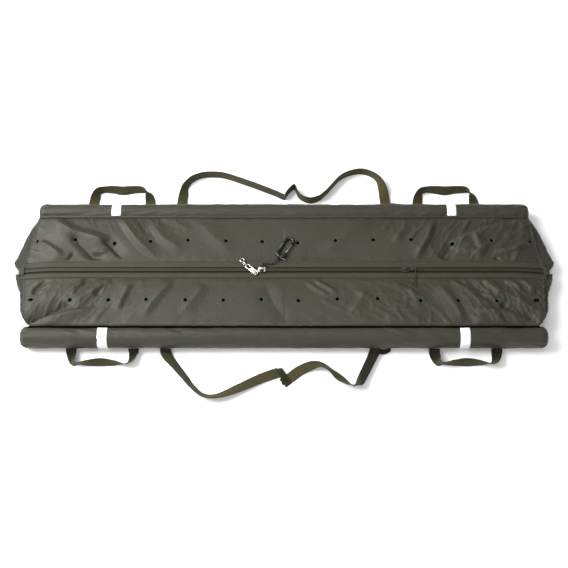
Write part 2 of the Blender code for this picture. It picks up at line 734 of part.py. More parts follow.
# Zip hardware
def stadium(length, half_width, steps=6):
    """A long rounded outline about the middle, as (along, across)."""
    points = []
    straight = length / 2 - half_width
    for start, sign in ((-90, 1), (90, -1)):
        for i in range(steps + 1):
            a = math.radians(start + 180 * i / steps)
            points.append((sign * straight + half_width * math.cos(a), half_width * math.sin(a)))
    return points


def placed(points, foot, tip, height):
    """Put (along, across, up) points on the level line from foot to tip, about its middle."""
    foot, tip = Vector((*foot, 0)), Vector((*tip, 0))
    along = (tip - foot).normalized()
    across = Vector((-along.y, along.x, 0))
    middle = (foot + tip) / 2
    return [middle + along * a + across * b + Vector((0, 0, height + c)) for a, b, c in points]


def plate(bm, outline, thickness, foot, tip, height, edge_share=1.0):
    """A flat plate on an outline, with its edges drawn in by a share."""
    rings = []
    for level, grow in ((-0.5, edge_share), (-0.2, 1.0), (0.2, 1.0), (0.5, edge_share)):
        points = [(a * grow, b * grow, level * thickness) for a, b in outline]
        rings.append(placed(points, foot, tip, height))
    return loft(bm, rings)


def rod(bm, points, radii, closed=False, sides=8):
    """A round rod along points, with a radius for each."""
    places = [Vector(p) for p in points]
    count = len(places)
    rings = []
    side = None
    for i, (here, radius) in enumerate(zip(places, map(float, radii))):
        before = places[(i - 1) % count] if closed or i else here
        after = places[(i + 1) % count] if closed or i < count - 1 else here
        along = (after - before).normalized()
        if side is None:
            side = along.orthogonal()
        side = (side - along * side.dot(along)).normalized()
        up = along.cross(side)
        turns = [2 * math.pi * k / sides for k in range(sides)]
        rings.append([here + radius * (side * math.cos(a) + up * math.sin(a)) for a in turns])
    return loft(bm, rings, closed)


def make_slider(name, x, finish, carrier):
    """A zip slider: a plate over the coil, a flange down each side of it and a bridge for the pull."""
    length, half = SLIDER_LENGTH / 2, SLIDER_WIDTH / 2
    low = COIL_TOP + GAP
    flange_foot = SEAM_Z + TAPE_THICKNESS / 2 + GAP
    flange_inner = COIL_WIDTH / 2 + GAP
    shoulder_z = SLIDER_TOP - SLIDER_PLATE / 2
    rings = []
    for share, narrow in ((-1, 0.93), (-0.7, 1.0), (0.5, 1.0), (1, 0.95)):
        wide = half * narrow
        outline = [
            (-wide, flange_foot),
            (-wide, shoulder_z),
            (-wide * 0.6, SLIDER_TOP),
            (wide * 0.6, SLIDER_TOP),
            (wide, shoulder_z),
            (wide, flange_foot),
            (flange_inner, flange_foot),
            (flange_inner, low),
            (-flange_inner, low),
            (-flange_inner, flange_foot),
        ]
        rings.append([(x + length * share, y, z) for y, z in outline])
    body = piece(name, loft(bmesh.new(), rings), finish, carrier)

    wall, rise, reach = SLIDER_BRIDGE_WALL, SLIDER_BRIDGE_HEIGHT, SLIDER_BRIDGE_HALF
    outer = [(reach, 0), (reach * 0.85, rise * 0.75), (reach * 0.5, rise)]
    inner = [(reach - wall, 0), (reach * 0.85 - wall, rise * 0.75 - wall / 2), (reach * 0.5 - wall / 2, rise - wall)]
    arch = [(-a, b) for a, b in outer] + outer[::-1] + inner + [(-a, b) for a, b in inner[::-1]]
    rings = []
    for y in (-SLIDER_BRIDGE_WIDTH / 2, SLIDER_BRIDGE_WIDTH / 2):
        rings.append([(x + a, y, SLIDER_TOP - GAP + b) for a, b in arch])
    bridge = piece(f"{name}_bridge", loft(bmesh.new(), rings), finish, carrier)
    bridge.hide_render = True
    bridge.display_type = "WIRE"
    made = body.modifiers.new("bridge", "BOOLEAN")
    made.operation = "UNION"
    made.solver = "EXACT"
    made.object = bridge
    return body


def make_pull(carrier):
    """The second slider's pull tab, slotted over the bridge, with a hole for its cord."""
    foot = (PULL_AXIS_X - PULL_WALL / 2, 0)
    tip = (foot[0] + PULL_LENGTH, 0)
    outline = [(a, b) for a, b in stadium(PULL_LENGTH, PULL_WIDTH / 2)]
    tab = piece("slider_pull", plate(bmesh.new(), outline, PULL_THICKNESS, foot, tip, PULL_AXIS_Z), "dark_metal", carrier)
    tall = PULL_THICKNESS / 2 + OVERRUN
    slot_half = SLIDER_BRIDGE_WIDTH / 2 + GAP
    slot_start = -PULL_LENGTH / 2 + PULL_WALL
    cutter = bmesh.new()
    shape = [
        (slot_start, -slot_half),
        (slot_start + PULL_SLOT, -slot_half),
        (slot_start + PULL_SLOT, slot_half),
        (slot_start, slot_half),
    ]
    loft(cutter, [placed([(a, b, z) for a, b in shape], foot, tip, PULL_AXIS_Z) for z in (-tall, tall)])
    hole = [(a + PULL_HOLE_PLACE, b) for a, b in stadium(PULL_HOLE, PULL_HOLE / 2, 4)]
    loft(cutter, [placed([(a, b, z) for a, b in hole], foot, tip, PULL_AXIS_Z) for z in (-tall, tall)])
    cut(tab, cutter, carrier, "pull_holes")

    hole_x = (foot[0] + tip[0]) / 2 + PULL_HOLE_PLACE
    r = PULL_CORD_DIAMETER / 2
    over = PULL_AXIS_Z + PULL_THICKNESS / 2 + GAP + r
    rest = SEAM_Z + COVER_THICKNESS / 2 + COVER_CROWN / 2 + GAP + r
    rows = [
        (hole_x, 0, PULL_AXIS_Z - PULL_THICKNESS / 2, r * 0.9),
        (hole_x, 0, over, r * 0.9),
        (hole_x, -PULL_WIDTH * 0.25, over + r, r),
        (hole_x, -PULL_WIDTH * 0.7, over + r * 0.4, r),
        (hole_x, -PULL_CORD_REACH * 0.35, rest + r, r),
        (hole_x - r, -PULL_CORD_REACH * 0.6, rest + r, r),
        (hole_x - r, -PULL_CORD_REACH * 0.78, rest + r, r),
        (hole_x - r, -PULL_CORD_REACH * 0.84, rest + 2 * r, 2.3 * r),
        (hole_x, -PULL_CORD_REACH * 0.92, rest + 2 * r, 2.3 * r),
        (hole_x, -PULL_CORD_REACH, rest + r, r),
    ]
    points = [row[:3] for row in rows]
    piece("pull_cord", rod(bmesh.new(), points, [row[3] for row in rows]), "black_cord", carrier, sharp=60)


def make_hook(carriers):
    """The small snap hook that locks the zip: a slotted body, its sprung bolt and a swivel ring."""
    length = (Vector(HOOK_NOSE) - Vector(HOOK_EYE)).length + HOOK_WIDTH
    half = HOOK_WIDTH / 2
    bm = plate(bmesh.new(), stadium(length, half), HOOK_THICKNESS, HOOK_EYE, HOOK_NOSE, HOOK_HEIGHT, 0.88)
    body = piece("lock_hook", bm, "nickel", carriers["lock_hook"], sharp=50)
    tall = HOOK_THICKNESS / 2 + OVERRUN
    inner = stadium(length - 2 * HOOK_WALL, half - HOOK_WALL)
    slot = bmesh.new()
    loft(slot, [placed([(a, b, z) for a, b in inner], HOOK_EYE, HOOK_NOSE, HOOK_HEIGHT) for z in (-tall, tall)])
    cut(body, slot, carriers["lock_hook"], "hook_slot")

    end = length / 2 - HOOK_WALL
    low, high = -end + half, end - 3 * GAP
    bar = HOOK_BOLT_WIDTH / 2
    shape = [(low, -bar), (high, -bar), (high, bar), (low, bar)]
    bm = plate(bmesh.new(), shape, HOOK_THICKNESS - 2 * GAP, HOOK_EYE, HOOK_NOSE, HOOK_HEIGHT)
    piece("lock_hook_bolt", bm, "nickel", carriers["lock_hook_bolt"])

    points = []
    for i in range(14):
        a = 2 * math.pi * i / 14
        points.append(HOOK_RING_CENTRE + HOOK_RING_RADIUS * Vector((math.cos(a), math.sin(a), 0)))
    bm = rod(bmesh.new(), points, [HOOK_RING_WIRE / 2] * len(points), closed=True, sides=6)
    piece("lock_hook_ring", bm, "nickel", carriers["lock_hook_ring"])


def make_clip(carriers):
    """The black moulded clip on the zip's cord: an open loop with a sprung gate and a swivel foot."""
    half = (CLIP_WIDTH - CLIP_ROD) / 2
    straight = CLIP_LENGTH / 2 - CLIP_ROD / 2 - half
    line = [(CLIP_GATE_HIGH, -half)]
    for start, sign in ((-90, 1), (90, -1)):
        for i in range(9):
            a = math.radians(start + 180 * i / 8)
            line.append((sign * straight + half * math.cos(a), half * math.sin(a)))
    line.append((CLIP_GATE_LOW, -half))
    points = placed([(a, b, 0) for a, b in line], CLIP_FOOT, CLIP_TIP, CLIP_HEIGHT)
    bm = rod(bmesh.new(), points, [CLIP_ROD / 2] * len(points))
    piece("cord_clip", bm, "black_plastic", carriers["cord_clip"], sharp=50)

    low, high = CLIP_GATE_LOW + 2 * GAP, CLIP_GATE_HIGH - 2 * GAP
    thick = CLIP_GATE / 2
    spots = [(low, -half, 0), (low + thick, -half, 0), (high - thick, -half, 0), (high, -half, 0)]
    points = placed(spots, CLIP_FOOT, CLIP_TIP, CLIP_HEIGHT)
    bm = rod(bmesh.new(), points, [thick * 0.6, thick, thick, thick * 0.6])
    piece("cord_clip_gate", bm, "black_plastic", carriers["cord_clip_gate"], sharp=50)

    back = CLIP_LENGTH / 2 + GAP
    spots = [(-back - SWIVEL_LENGTH * share, 0, 0) for share, _ in SWIVEL_SHARES]
    points = placed(spots, CLIP_FOOT, CLIP_TIP, CLIP_HEIGHT)
    radii = [SWIVEL_DIAMETER / 2 * share for _, share in SWIVEL_SHARES]
    bm = rod(bmesh.new(), points, radii, sides=10)
    piece("clip_swivel", bm, "black_plastic", carriers["cord_clip"], sharp=50)


def make_cord(carrier):
    """The knotted cord from the first slider's bridge to the clip's swivel."""
    r = CORD_DIAMETER / 2
    knot = KNOT_DIAMETER / 2
    through = SLIDER_TOP + (SLIDER_BRIDGE_HEIGHT - SLIDER_BRIDGE_WALL) / 2
    stop = through - SLIDER_TOP - GAP
    on_cover = SEAM_Z + COVER_THICKNESS / 2 + COVER_CROWN / 3 + GAP + r
    along, end = CLIP_ALONG, CORD_END
    start_x = SLIDER_ONE_PLACE
    side = SLIDER_BRIDGE_WIDTH / 2 + GAP
    beside = SLIDER_WIDTH / 2
    rows = [
        (start_x, -side - 2.4 * stop, through, stop * 0.4),
        (start_x, -side - 1.9 * stop, through, stop * 0.9),
        (start_x, -side - 1.2 * stop, through, stop),
        (start_x, -side - 0.5 * stop, through, stop * 0.9),
        (start_x, -side, through, r),
        (start_x, side, through, r),
        (start_x, beside, through, r),
        (start_x + r, beside + knot * 1.1, through, knot * 0.9),
        (start_x + knot, beside + knot * 1.8, through, knot),
        (start_x + 1.7 * knot, beside + knot * 2.2, through, r),
        (start_x + 2.3 * knot, beside + knot * 2.3, through, knot * 0.95),
        (start_x + 3.1 * knot, beside + knot * 2.4, through, knot * 0.9),
        (start_x + 3.9 * knot, beside + knot * 2.5, on_cover + r, r),
        (start_x + (end.x - start_x) * 0.66, end.y - SWIVEL_LENGTH * 1.5, on_cover + r, r),
        (end.x - SWIVEL_LENGTH * 0.9, end.y - SWIVEL_LENGTH * 1.2, (on_cover + CLIP_HEIGHT) / 2, r),
        (end.x - along.x * SWIVEL_LENGTH / 2, end.y - along.y * SWIVEL_LENGTH / 2, CLIP_HEIGHT, r),
        (end.x, end.y, CLIP_HEIGHT, r),
    ]
    rows = smooth_route(rows, 2)
    points = [row[:3] for row in rows]
    piece("zip_cord", rod(bmesh.new(), points, [row[3] for row in rows]), "black_cord", carrier, sharp=60)


def build():
    """Make every body's pivot and its pieces."""
    clear_scene()
    sling = pivot("sling", (0, 0, 0))
    for side in (FAR, NEAR):
        make_cover(side, sling)
        for end in (LEFT, RIGHT):
            make_mesh_end(side, end, sling)
            make_binding(side, end, sling)
    make_belly(sling)
    make_zip(sling)
    for side in (FAR, NEAR):
        name = SIDE_NAMES[side]
        swim = pivot(f"float_{name}", (0, side * SEAM_Y, SEAM_Z), sling)
        make_float(side, swim)
        for end in (LEFT, RIGHT):
            hinge = (end * HANDLE_CENTRES[side], side * ANCHOR_Y, ANCHOR_Z)
            make_handle(side, end, pivot(f"hinge_handle_{name}_{END_NAMES[end]}", hinge, swim))
        make_strap(side, pivot(f"hinge_strap_{name}", (0, side * ANCHOR_Y, ANCHOR_Z), swim))

    one = pivot("slide_one", (SLIDER_ONE_PLACE, 0, COIL_TOP), sling)
    two = pivot("slide_two", (SLIDER_TWO_PLACE, 0, COIL_TOP), sling)
    make_slider("zip_slider_one", SLIDER_ONE_PLACE, "nickel", one)
    make_slider("zip_slider_two", SLIDER_TWO_PLACE, "dark_metal", two)
    make_pull(pivot("hinge_pull", (PULL_AXIS_X, 0, PULL_AXIS_Z), two))
    hook = pivot("hinge_hook", (*HOOK_NOSE, HOOK_HEIGHT), one)
    carriers = {
        "lock_hook": hook,
        "lock_hook_bolt": pivot("slide_bolt", (*HOOK_EYE, HOOK_HEIGHT), hook),
        "lock_hook_ring": pivot("hinge_ring", HOOK_RING_CENTRE, hook),
    }
    make_hook(carriers)
    make_cord(one)
    clip = pivot("hinge_clip", (*SWIVEL_MIDDLE, CLIP_HEIGHT), one)
    half = (CLIP_WIDTH - CLIP_ROD) / 2
    hinge_along = CLIP_GATE_LOW + 2 * GAP + CLIP_GATE / 2
    gate_hinge = placed([(hinge_along, -half, 0)], CLIP_FOOT, CLIP_TIP, CLIP_HEIGHT)[0]
    make_clip({"cord_clip": clip, "cord_clip_gate": pivot("hinge_gate", gate_hinge, clip)})


build()
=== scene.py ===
"""A zipped weigh sling dressed over its frame: cloth, webbing, zip, cords and hardware."""

import logging
import math
from dataclasses import dataclass
from enum import Enum
from typing import Callable, Iterable, Sequence

import bmesh
import bpy
from mathutils import Matrix, Vector, noise

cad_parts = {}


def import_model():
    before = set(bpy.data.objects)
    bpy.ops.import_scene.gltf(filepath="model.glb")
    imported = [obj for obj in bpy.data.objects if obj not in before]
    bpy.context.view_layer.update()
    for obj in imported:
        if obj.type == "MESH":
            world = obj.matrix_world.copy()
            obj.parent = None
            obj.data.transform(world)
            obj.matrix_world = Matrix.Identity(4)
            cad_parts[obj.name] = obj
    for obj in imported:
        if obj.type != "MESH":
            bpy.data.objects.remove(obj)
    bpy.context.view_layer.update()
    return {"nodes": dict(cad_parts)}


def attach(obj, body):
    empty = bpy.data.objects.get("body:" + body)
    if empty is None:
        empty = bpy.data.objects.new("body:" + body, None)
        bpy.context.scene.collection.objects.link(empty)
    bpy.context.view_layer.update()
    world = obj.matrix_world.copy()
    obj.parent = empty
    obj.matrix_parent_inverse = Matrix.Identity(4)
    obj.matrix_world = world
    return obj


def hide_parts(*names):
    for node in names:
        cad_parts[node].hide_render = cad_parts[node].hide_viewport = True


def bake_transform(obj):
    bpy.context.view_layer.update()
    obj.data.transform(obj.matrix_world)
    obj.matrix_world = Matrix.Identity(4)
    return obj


Point = tuple[float, float, float]
Colour = tuple[float, float, float]
LOG = logging.getLogger("weigh_sling")
SHARP = 40.0  # degrees; the least angle of an edge that is rounded or left sharp
TAPE_THICKNESS = 0.0005
SLIDER_TOP = 0.04747767
CLIP_HEIGHT = 0.05047767
SLIDER_ONE, SLIDER_TWO = -0.0525, 0.2875


class Side(Enum):
    """The two long sides of the sling, with the sign of their Y."""

    FAR = 1
    NEAR = -1

    @property
    def word(self) -> str:
        """The side's name in the frame's node names."""
        return self.name.lower()


class End(Enum):
    """The two ends of the sling, with the sign of their X."""

    LEFT = -1
    RIGHT = 1

    @property
    def word(self) -> str:
        """The end's name in the frame's node names."""
        return self.name.lower()


# Shared shapes
def clamp(value: float, low: float = 0.0, high: float = 1.0) -> float:
    """Keep a value between two limits."""
    return max(low, min(high, value))


def smooth(value: float) -> float:
    """Ease a share from 0 to 1."""
    value = clamp(value)
    return value * value * (3 - 2 * value)


def wander(x: float, y: float, z: float) -> float:
    """Smooth noise at a place, from -1 to 1."""
    return noise.noise(Vector((x, y, z)))


def crest(level: float, width: float) -> float:
    """A ridge that is 1 where a level is 0, and 0 from a width on."""
    return max(0.0, 1 - abs(level) / width)


def bell(offset: float, width: float, power: int = 2) -> float:
    """A bell curve that is 1 at its middle, flatter on top for a higher power."""
    return math.exp(-((offset / width) ** power))


def flat_distance(x: float, y: float, start: Sequence[float],
                  end: Sequence[float]) -> tuple[float, float]:
    """Measure a place against a line on the ground plan.

    Args:
        x: the place along the sling.
        y: the place across it.
        start: the line's first end.
        end: the line's second end.

    Returns:
        The share along the line, and the distance from it, positive on its left.
    """
    ax, ay = end[0] - start[0], end[1] - start[1]
    length = math.hypot(ax, ay)
    px, py = x - start[0], y - start[1]
    share = (px * ax + py * ay) / (length * length)
    return share, (ax * py - ay * px) / length


def smooth_route(rows: Sequence[Sequence[float]], steps: int) -> list[list[float]]:
    """Run a smooth curve through rows of numbers.

    Args:
        rows: the rows, whose columns are all smoothed alike.
        steps: how many rows the curve makes for each given one.

    Returns:
        The rows of the curve, with both ends kept.
    """
    made = []
    last = len(rows) - 1
    for i in range(last):
        quad = [rows[max(i - 1, 0)], rows[i], rows[i + 1], rows[min(i + 2, last)]]
        for k in range(steps):
            t = k / steps
            row = []
            for p0, p1, p2, p3 in zip(*quad):
                bend = 2 * p0 - 5 * p1 + 4 * p2 - p3
                row.append(0.5 * (2 * p1 + (p2 - p0) * t + bend * t * t
                                  + (3 * p1 - p0 - 3 * p2 + p3) * t**3))
            made.append(row)
    made.append(list(rows[last]))
    return made


def run_lengths(points: Sequence[Vector]) -> list[float]:
    """How far along a line of points each one lies."""
    lengths = [0.0]
    for before, after in zip(points, points[1:]):
        lengths.append(lengths[-1] + (after - before).length)
    return lengths


def spaced(points: Sequence[Vector], step: float) -> list[Vector]:
    """Place points evenly along a line of points.

    Args:
        points: the line.
        step: about how far apart the new points are.

    Returns:
        The new points, with both ends kept.
    """
    lengths = run_lengths(points)
    count = max(2, round(lengths[-1] / step))
    made, at = [], 0
    for k in range(count + 1):
        want = lengths[-1] * k / count
        while at < len(lengths) - 2 and lengths[at + 1] < want:
            at += 1
        part = (want - lengths[at]) / max(lengths[at + 1] - lengths[at], 1e-9)
        made.append(points[at].lerp(points[at + 1], clamp(part)))
    return made


# Meshes
def deselect() -> None:
    """Leave edit mode with nothing selected."""
    if bpy.context.object and bpy.context.object.mode != "OBJECT":
        bpy.ops.object.mode_set(mode="OBJECT")
    bpy.ops.object.select_all(action="DESELECT")


def activate(piece: bpy.types.Object) -> None:
    """Make one piece the only selected and active one."""
    deselect()
    piece.select_set(True)
    bpy.context.view_layer.objects.active = piece


def settle(piece: bpy.types.Object, smooth_angle: float = SHARP) -> None:
    """Apply a piece's place to its mesh, and smooth its faces up to an angle."""
    activate(piece)
    bpy.ops.object.transform_apply(location=True, rotation=True, scale=True)
    bpy.ops.object.shade_smooth_by_angle(angle=math.radians(smooth_angle))
    deselect()


def mesh_piece(name: str, verts: Sequence[Point], faces: Sequence[Sequence[int]],
               places: Sequence[Sequence[float]] = ()) -> bpy.types.Object:
    """Make a piece from vertices and faces.

    Args:
        name: the piece's name.
        verts: the vertices' places.
        faces: the faces' vertex numbers.
        places: each vertex's place on the cloth, in metres, as its first two numbers.

    Returns:
        The new piece, smooth shaded.
    """
    mesh = bpy.data.meshes.new(name)
    mesh.from_pydata([tuple(v) for v in verts], [], [tuple(f) for f in faces])
    mesh.validate()
    if places:
        layer = mesh.uv_layers.new(name="cloth")
        for loop in mesh.loops:
            layer.data[loop.index].uv = places[loop.vertex_index][:2]
    mesh.shade_smooth()
    piece = bpy.data.objects.new(name, mesh)
    bpy.context.scene.collection.objects.link(piece)
    return piece


def named(name: str) -> bpy.types.Object:
    """Name the piece that was just added."""
    bpy.context.object.name = name
    return bpy.context.object


def round_edges(piece: bpy.types.Object, width: float) -> None:
    """Round a piece's sharp edges with an applied bevel."""
    rounding = piece.modifiers.new("rounding", "BEVEL")
    rounding.width, rounding.segments, rounding.limit_method = width, 3, "ANGLE"
    rounding.angle_limit = math.radians(SHARP)
    activate(piece)
    bpy.ops.object.modifier_apply(modifier=rounding.name)


def grid_faces(rows: int, columns: int, closed: bool = False) -> list[tuple[int, int, int, int]]:
    """List the faces of a grid of vertices that is stored row by row.

    Args:
        rows: how many rows of vertices there are.
        columns: how many vertices are in a row.
        closed: joins each row's last vertex to its first.

    Returns:
        The faces' vertex numbers.
    """
    faces = []
    for r in range(rows - 1):
        for c in range(columns if closed else columns - 1):
            d = (c + 1) % columns
            faces.append((r * columns + c, r * columns + d, (r + 1) * columns + d,
                          (r + 1) * columns + c))
    return faces


def store_ridges(piece: bpy.types.Object, values: Sequence[float]) -> None:
    """Store a finish's painted light: 1 for a crest's painted highlight, 0 for painted shade."""
    layer = piece.data.attributes.new("ridge", "FLOAT", "POINT")
    layer.data.foreach_set("value", values)


def mark_ridges(piece: bpy.types.Object, reach: int, scale: float) -> None:
    """Store how far each spot of a cloth stands out, for painted light on its crests and valleys.

    Args:
        piece: the cloth.
        reach: over how many rings of neighbours the cloth's level is taken.
        scale: the height that counts as a full crest, in metres.
    """
    mesh = piece.data
    heights = [v.co.z for v in mesh.vertices]
    neighbours: list[list[int]] = [[] for _ in heights]
    for edge in mesh.edges:
        a, b = edge.vertices
        neighbours[a].append(b)
        neighbours[b].append(a)
    level = heights
    for _ in range(reach):
        level = [(level[v] + sum(level[n] for n in near)) / (1 + len(near))
                 for v, near in enumerate(neighbours)]
    store_ridges(piece, [clamp(0.5 + (z - mean) / scale) for z, mean in zip(heights, level)])


def face_outwards(piece: bpy.types.Object) -> None:
    """Turn a closed piece's faces outwards."""
    made = bmesh.new()
    made.from_mesh(piece.data)
    bmesh.ops.recalc_face_normals(made, faces=made.faces)
    made.to_mesh(piece.data)
    made.free()


def solid_piece(name: str, verts: Sequence[Point], faces: Sequence[Sequence[int]],
                places: Sequence[Sequence[float]]) -> bpy.types.Object:
    """Make a closed piece, as mesh_piece does, with its faces turned outwards."""
    piece = mesh_piece(name, verts, faces, places)
    face_outwards(piece)
    return piece


def thicken(piece: bpy.types.Object, thickness: float) -> None:
    """Give a sheet its thickness, half to each side, with an applied Solidify modifier."""
    modifier = piece.modifiers.new("thickness", "SOLIDIFY")
    modifier.thickness, modifier.offset = thickness, 0.0
    activate(piece)
    bpy.ops.object.modifier_apply(modifier=modifier.name)
    deselect()


def tape_piece(name: str, verts: Sequence[Point], rows: int, places: Sequence[Sequence[float]],
               thickness: float) -> bpy.types.Object:
    """Make a thickened sheet from rows of vertices.

    Args:
        name: the piece's name.
        verts: the vertices' places, row by row.
        rows: how many rows there are.
        places: each vertex's place on the cloth.
        thickness: the sheet's thickness.

    Returns:
        The closed sheet.
    """
    piece = mesh_piece(name, verts, grid_faces(rows, len(verts) // rows), places)
    thicken(piece, thickness)
    face_outwards(piece)
    return piece


def close_ends(verts: list[Vector], places: list[tuple[float, float]],
               sides: int) -> list[tuple[int, ...]]:
    """Close both ends of a row of rings with a fan round an added middle.

    Args:
        verts: the rings' vertices, which the middles are added to.
        places: their places on the cloth, likewise.
        sides: how many vertices a ring has.

    Returns:
        The fans' faces.
    """
    faces = []
    for first, turn in ((0, 1), (len(verts) - sides, -1)):
        ring = [first + k for k in range(sides)][::turn]
        verts.append(sum((verts[v] for v in ring), Vector()) / sides)
        places.append(places[first])
        faces += [(ring[(k + 1) % sides], ring[k], len(verts) - 1) for k in range(sides)]
    return faces


def tube(name: str, points: Sequence[Vector], radius: Callable[[float], float], sides: int = 10,
         closed: bool = False) -> bpy.types.Object:
    """Make a round tube along points, with its UV map along and round it.

    Args:
        name: the piece's name.
        points: the middle line.
        radius: gives the radius at a share of the way.
        sides: how many sides the tube has.
        closed: joins the tube's end to its start.

    Returns:
        The new piece, with closed ends.
    """
    count = len(points)
    verts, places = [], []
    side = None
    for i, (here, run) in enumerate(zip(points, run_lengths(points))):
        before = points[(i - 1) % count] if closed or i else here
        after = points[(i + 1) % count] if closed or i < count - 1 else here
        along = (after - before).normalized()
        side = along.orthogonal() if side is None else side
        side = (side - along * side.dot(along)).normalized()
        up = along.cross(side)
        r = radius(i / (count - 1))
        for k in range(sides):
            turn = 2 * math.pi * k / sides
            verts.append(here + r * (side * math.cos(turn) + up * math.sin(turn)))
            places.append((run, 2 * math.pi * r * k / sides))
    faces = grid_faces(count, sides, closed=True)
    if closed:
        faces += [(count * sides - sides + k, count * sides - sides + (k + 1) % sides,
                   (k + 1) % sides, k) for k in range(sides)]
    else:
        faces += close_ends(verts, places, sides)
    return solid_piece(name, verts, faces, places)


@dataclass
class Strip:
    """A band of cloth or webbing that follows a row of frames, with rounded edges.

    Args:
        name: the piece's name.
        width: its full width.
        thickness: its thickness.
        across_steps: how many cells it has across one face.
    """

    name: str
    width: float
    thickness: float
    across_steps: int = 6

    def section(self) -> list[tuple[float, float]]:
        """The outline of a cut through the band, as shares of half width and half thickness."""
        half = self.across_steps
        edge = 1 - 0.6 * self.thickness / self.width
        top = [(edge * (2 * k / half - 1), 1.0) for k in range(half + 1)]
        low = [(a, -1.0) for a, _ in top[::-1]]
        return top + [(1.0, 0.45), (1.0, -0.45)] + low + [(-1.0, -0.45), (-1.0, 0.45)]

    def build(self, frames: Sequence[tuple[Vector, Vector, Vector]]) -> bpy.types.Object:
        """Make the band.

        Args:
            frames: rows of the band's middle, its direction across and its face's direction.

        Returns:
            The closed band, with its UV map along and across it in metres.
        """
        outline = self.section()
        verts, places = [], []
        for (middle, across, face), run in zip(frames, run_lengths([frame[0] for frame in frames])):
            for a, b in outline:
                verts.append(middle + across * (a * self.width / 2)
                             + face * (b * self.thickness / 2))
                places.append((run, a * self.width / 2))
        count = len(outline)
        faces = grid_faces(len(frames), count, closed=True)
        first = list(range(count))
        last = [len(verts) - count + k for k in first]
        half = self.across_steps
        for ring in (first, last):
            for k in range(half):
                other = 2 * half + 3 - k
                faces.append((ring[k], ring[k + 1], ring[other - 1], ring[other]))
            faces.append((ring[half], ring[half + 1], ring[half + 2], ring[half + 3]))
            faces.append((ring[0], ring[2 * half + 3], ring[2 * half + 4], ring[2 * half + 5]))
        return solid_piece(self.name, verts, faces, places)


# Finishes
class NodeBoard:
    """A node tree that nodes are laid on and linked by name."""

    def __init__(self, tree: bpy.types.NodeTree) -> None:
        """Start from an empty tree."""
        self.tree = tree
        tree.nodes.clear()

    def feed(self, node: bpy.types.Node, values: dict[str | int, object]) -> bpy.types.Node:
        """Give a node's inputs their numbers and colours, or the outputs that feed them."""
        for key, value in values.items():
            if isinstance(value, bpy.types.NodeSocket):
                self.tree.links.new(value, node.inputs[key])
            else:
                node.inputs[key].default_value = value
        return node

    def add(self, kind: str, values: dict[str | int, object] | None = None,
            **settings: object) -> bpy.types.Node:
        """Add a node of a kind with its settings, and feed its inputs."""
        node = self.tree.nodes.new(kind)
        for key, value in settings.items():
            setattr(node, key, value)
        return self.feed(node, values or {})

    def group(self, name: str, values: dict[str, object]) -> bpy.types.NodeOutputs:
        """Place a shared node group with its own values, and return its outputs."""
        return self.add("ShaderNodeGroup", values, node_tree=bpy.data.node_groups[name]).outputs

    def math(self, operation: str, *values: object) -> bpy.types.NodeSocket:
        """Work out a number from one to three others."""
        return self.add("ShaderNodeMath", dict(enumerate(values)), operation=operation).outputs[0]

    def mix(self, share: object, first: object, second: object,
            blend: str = "MIX") -> bpy.types.NodeSocket:
        """Mix two colours by a share."""
        return self.add("ShaderNodeMix", {0: share, 6: first, 7: second}, data_type="RGBA",
                        blend_type=blend).outputs[2]

    def tint(self, colour: object, factor: bpy.types.NodeSocket) -> bpy.types.NodeSocket:
        """Make a colour lighter or darker by a factor."""
        grey = self.add("ShaderNodeCombineColor", {0: factor, 1: factor, 2: factor})
        return self.mix(1.0, colour, grey.outputs[0], "MULTIPLY")

    def grain(self, where: object, scale: object, detail: float,
              roughness: float = 0.5) -> bpy.types.NodeSocket:
        """Noise over a place, as a number."""
        return self.add("ShaderNodeTexNoise", {"Vector": where, "Scale": scale, "Detail": detail,
                                               "Roughness": roughness}).outputs[0]

    def bump(self, height: object, distance: float, strength: float,
             under: bpy.types.NodeSocket | None = None) -> bpy.types.NodeSocket:
        """Raise a surface's relief, over another relief if there is one."""
        below = {"Normal": under} if under else {}
        return self.add("ShaderNodeBump",
                        {"Height": height, "Distance": distance, "Strength": strength,
                         **below}).outputs[0]

    def fit(self, value: object, low: float, high: float, to_low: float = 0.0,
            to_high: float = 1.0) -> bpy.types.NodeSocket:
        """Spread a value's range over another one, and clamp it there."""
        return self.add("ShaderNodeMapRange", {0: value, 1: low, 2: high, 3: to_low, 4: to_high},
                        clamp=True).outputs[0]

    def give(self, **outs: bpy.types.NodeSocket) -> None:
        """Give a node group its named outputs."""
        kinds = {"VALUE": "Float", "RGBA": "Color"}
        for label, value in outs.items():
            self.tree.interface.new_socket(label, in_out="OUTPUT",
                                           socket_type=f"NodeSocket{kinds[value.type]}")
        self.add("NodeGroupOutput", outs)


def opaque(colour: Colour, share: float = 1.0) -> tuple[float, float, float, float]:
    """A colour for a socket, made lighter or darker by a share."""
    return (colour[0] * share, colour[1] * share, colour[2] * share, 1.0)


def new_group(name: str, **ins: object) -> tuple[NodeBoard, bpy.types.NodeOutputs]:
    """Start a shader node group.

    Args:
        name: the group's name.
        ins: each input's starting value: a number, a colour, or None for a place.

    Returns:
        The group's board, and the outputs of its input node.
    """
    tree = bpy.data.node_groups.new(name, "ShaderNodeTree")
    for label, value in ins.items():
        kind = "Vector" if value is None else "Float" if isinstance(value, float) else "Color"
        socket = tree.interface.new_socket(label, in_out="INPUT", socket_type=f"NodeSocket{kind}")
        if value is not None:
            socket.default_value = value
    board = NodeBoard(tree)
    return board, board.add("NodeGroupInput").outputs


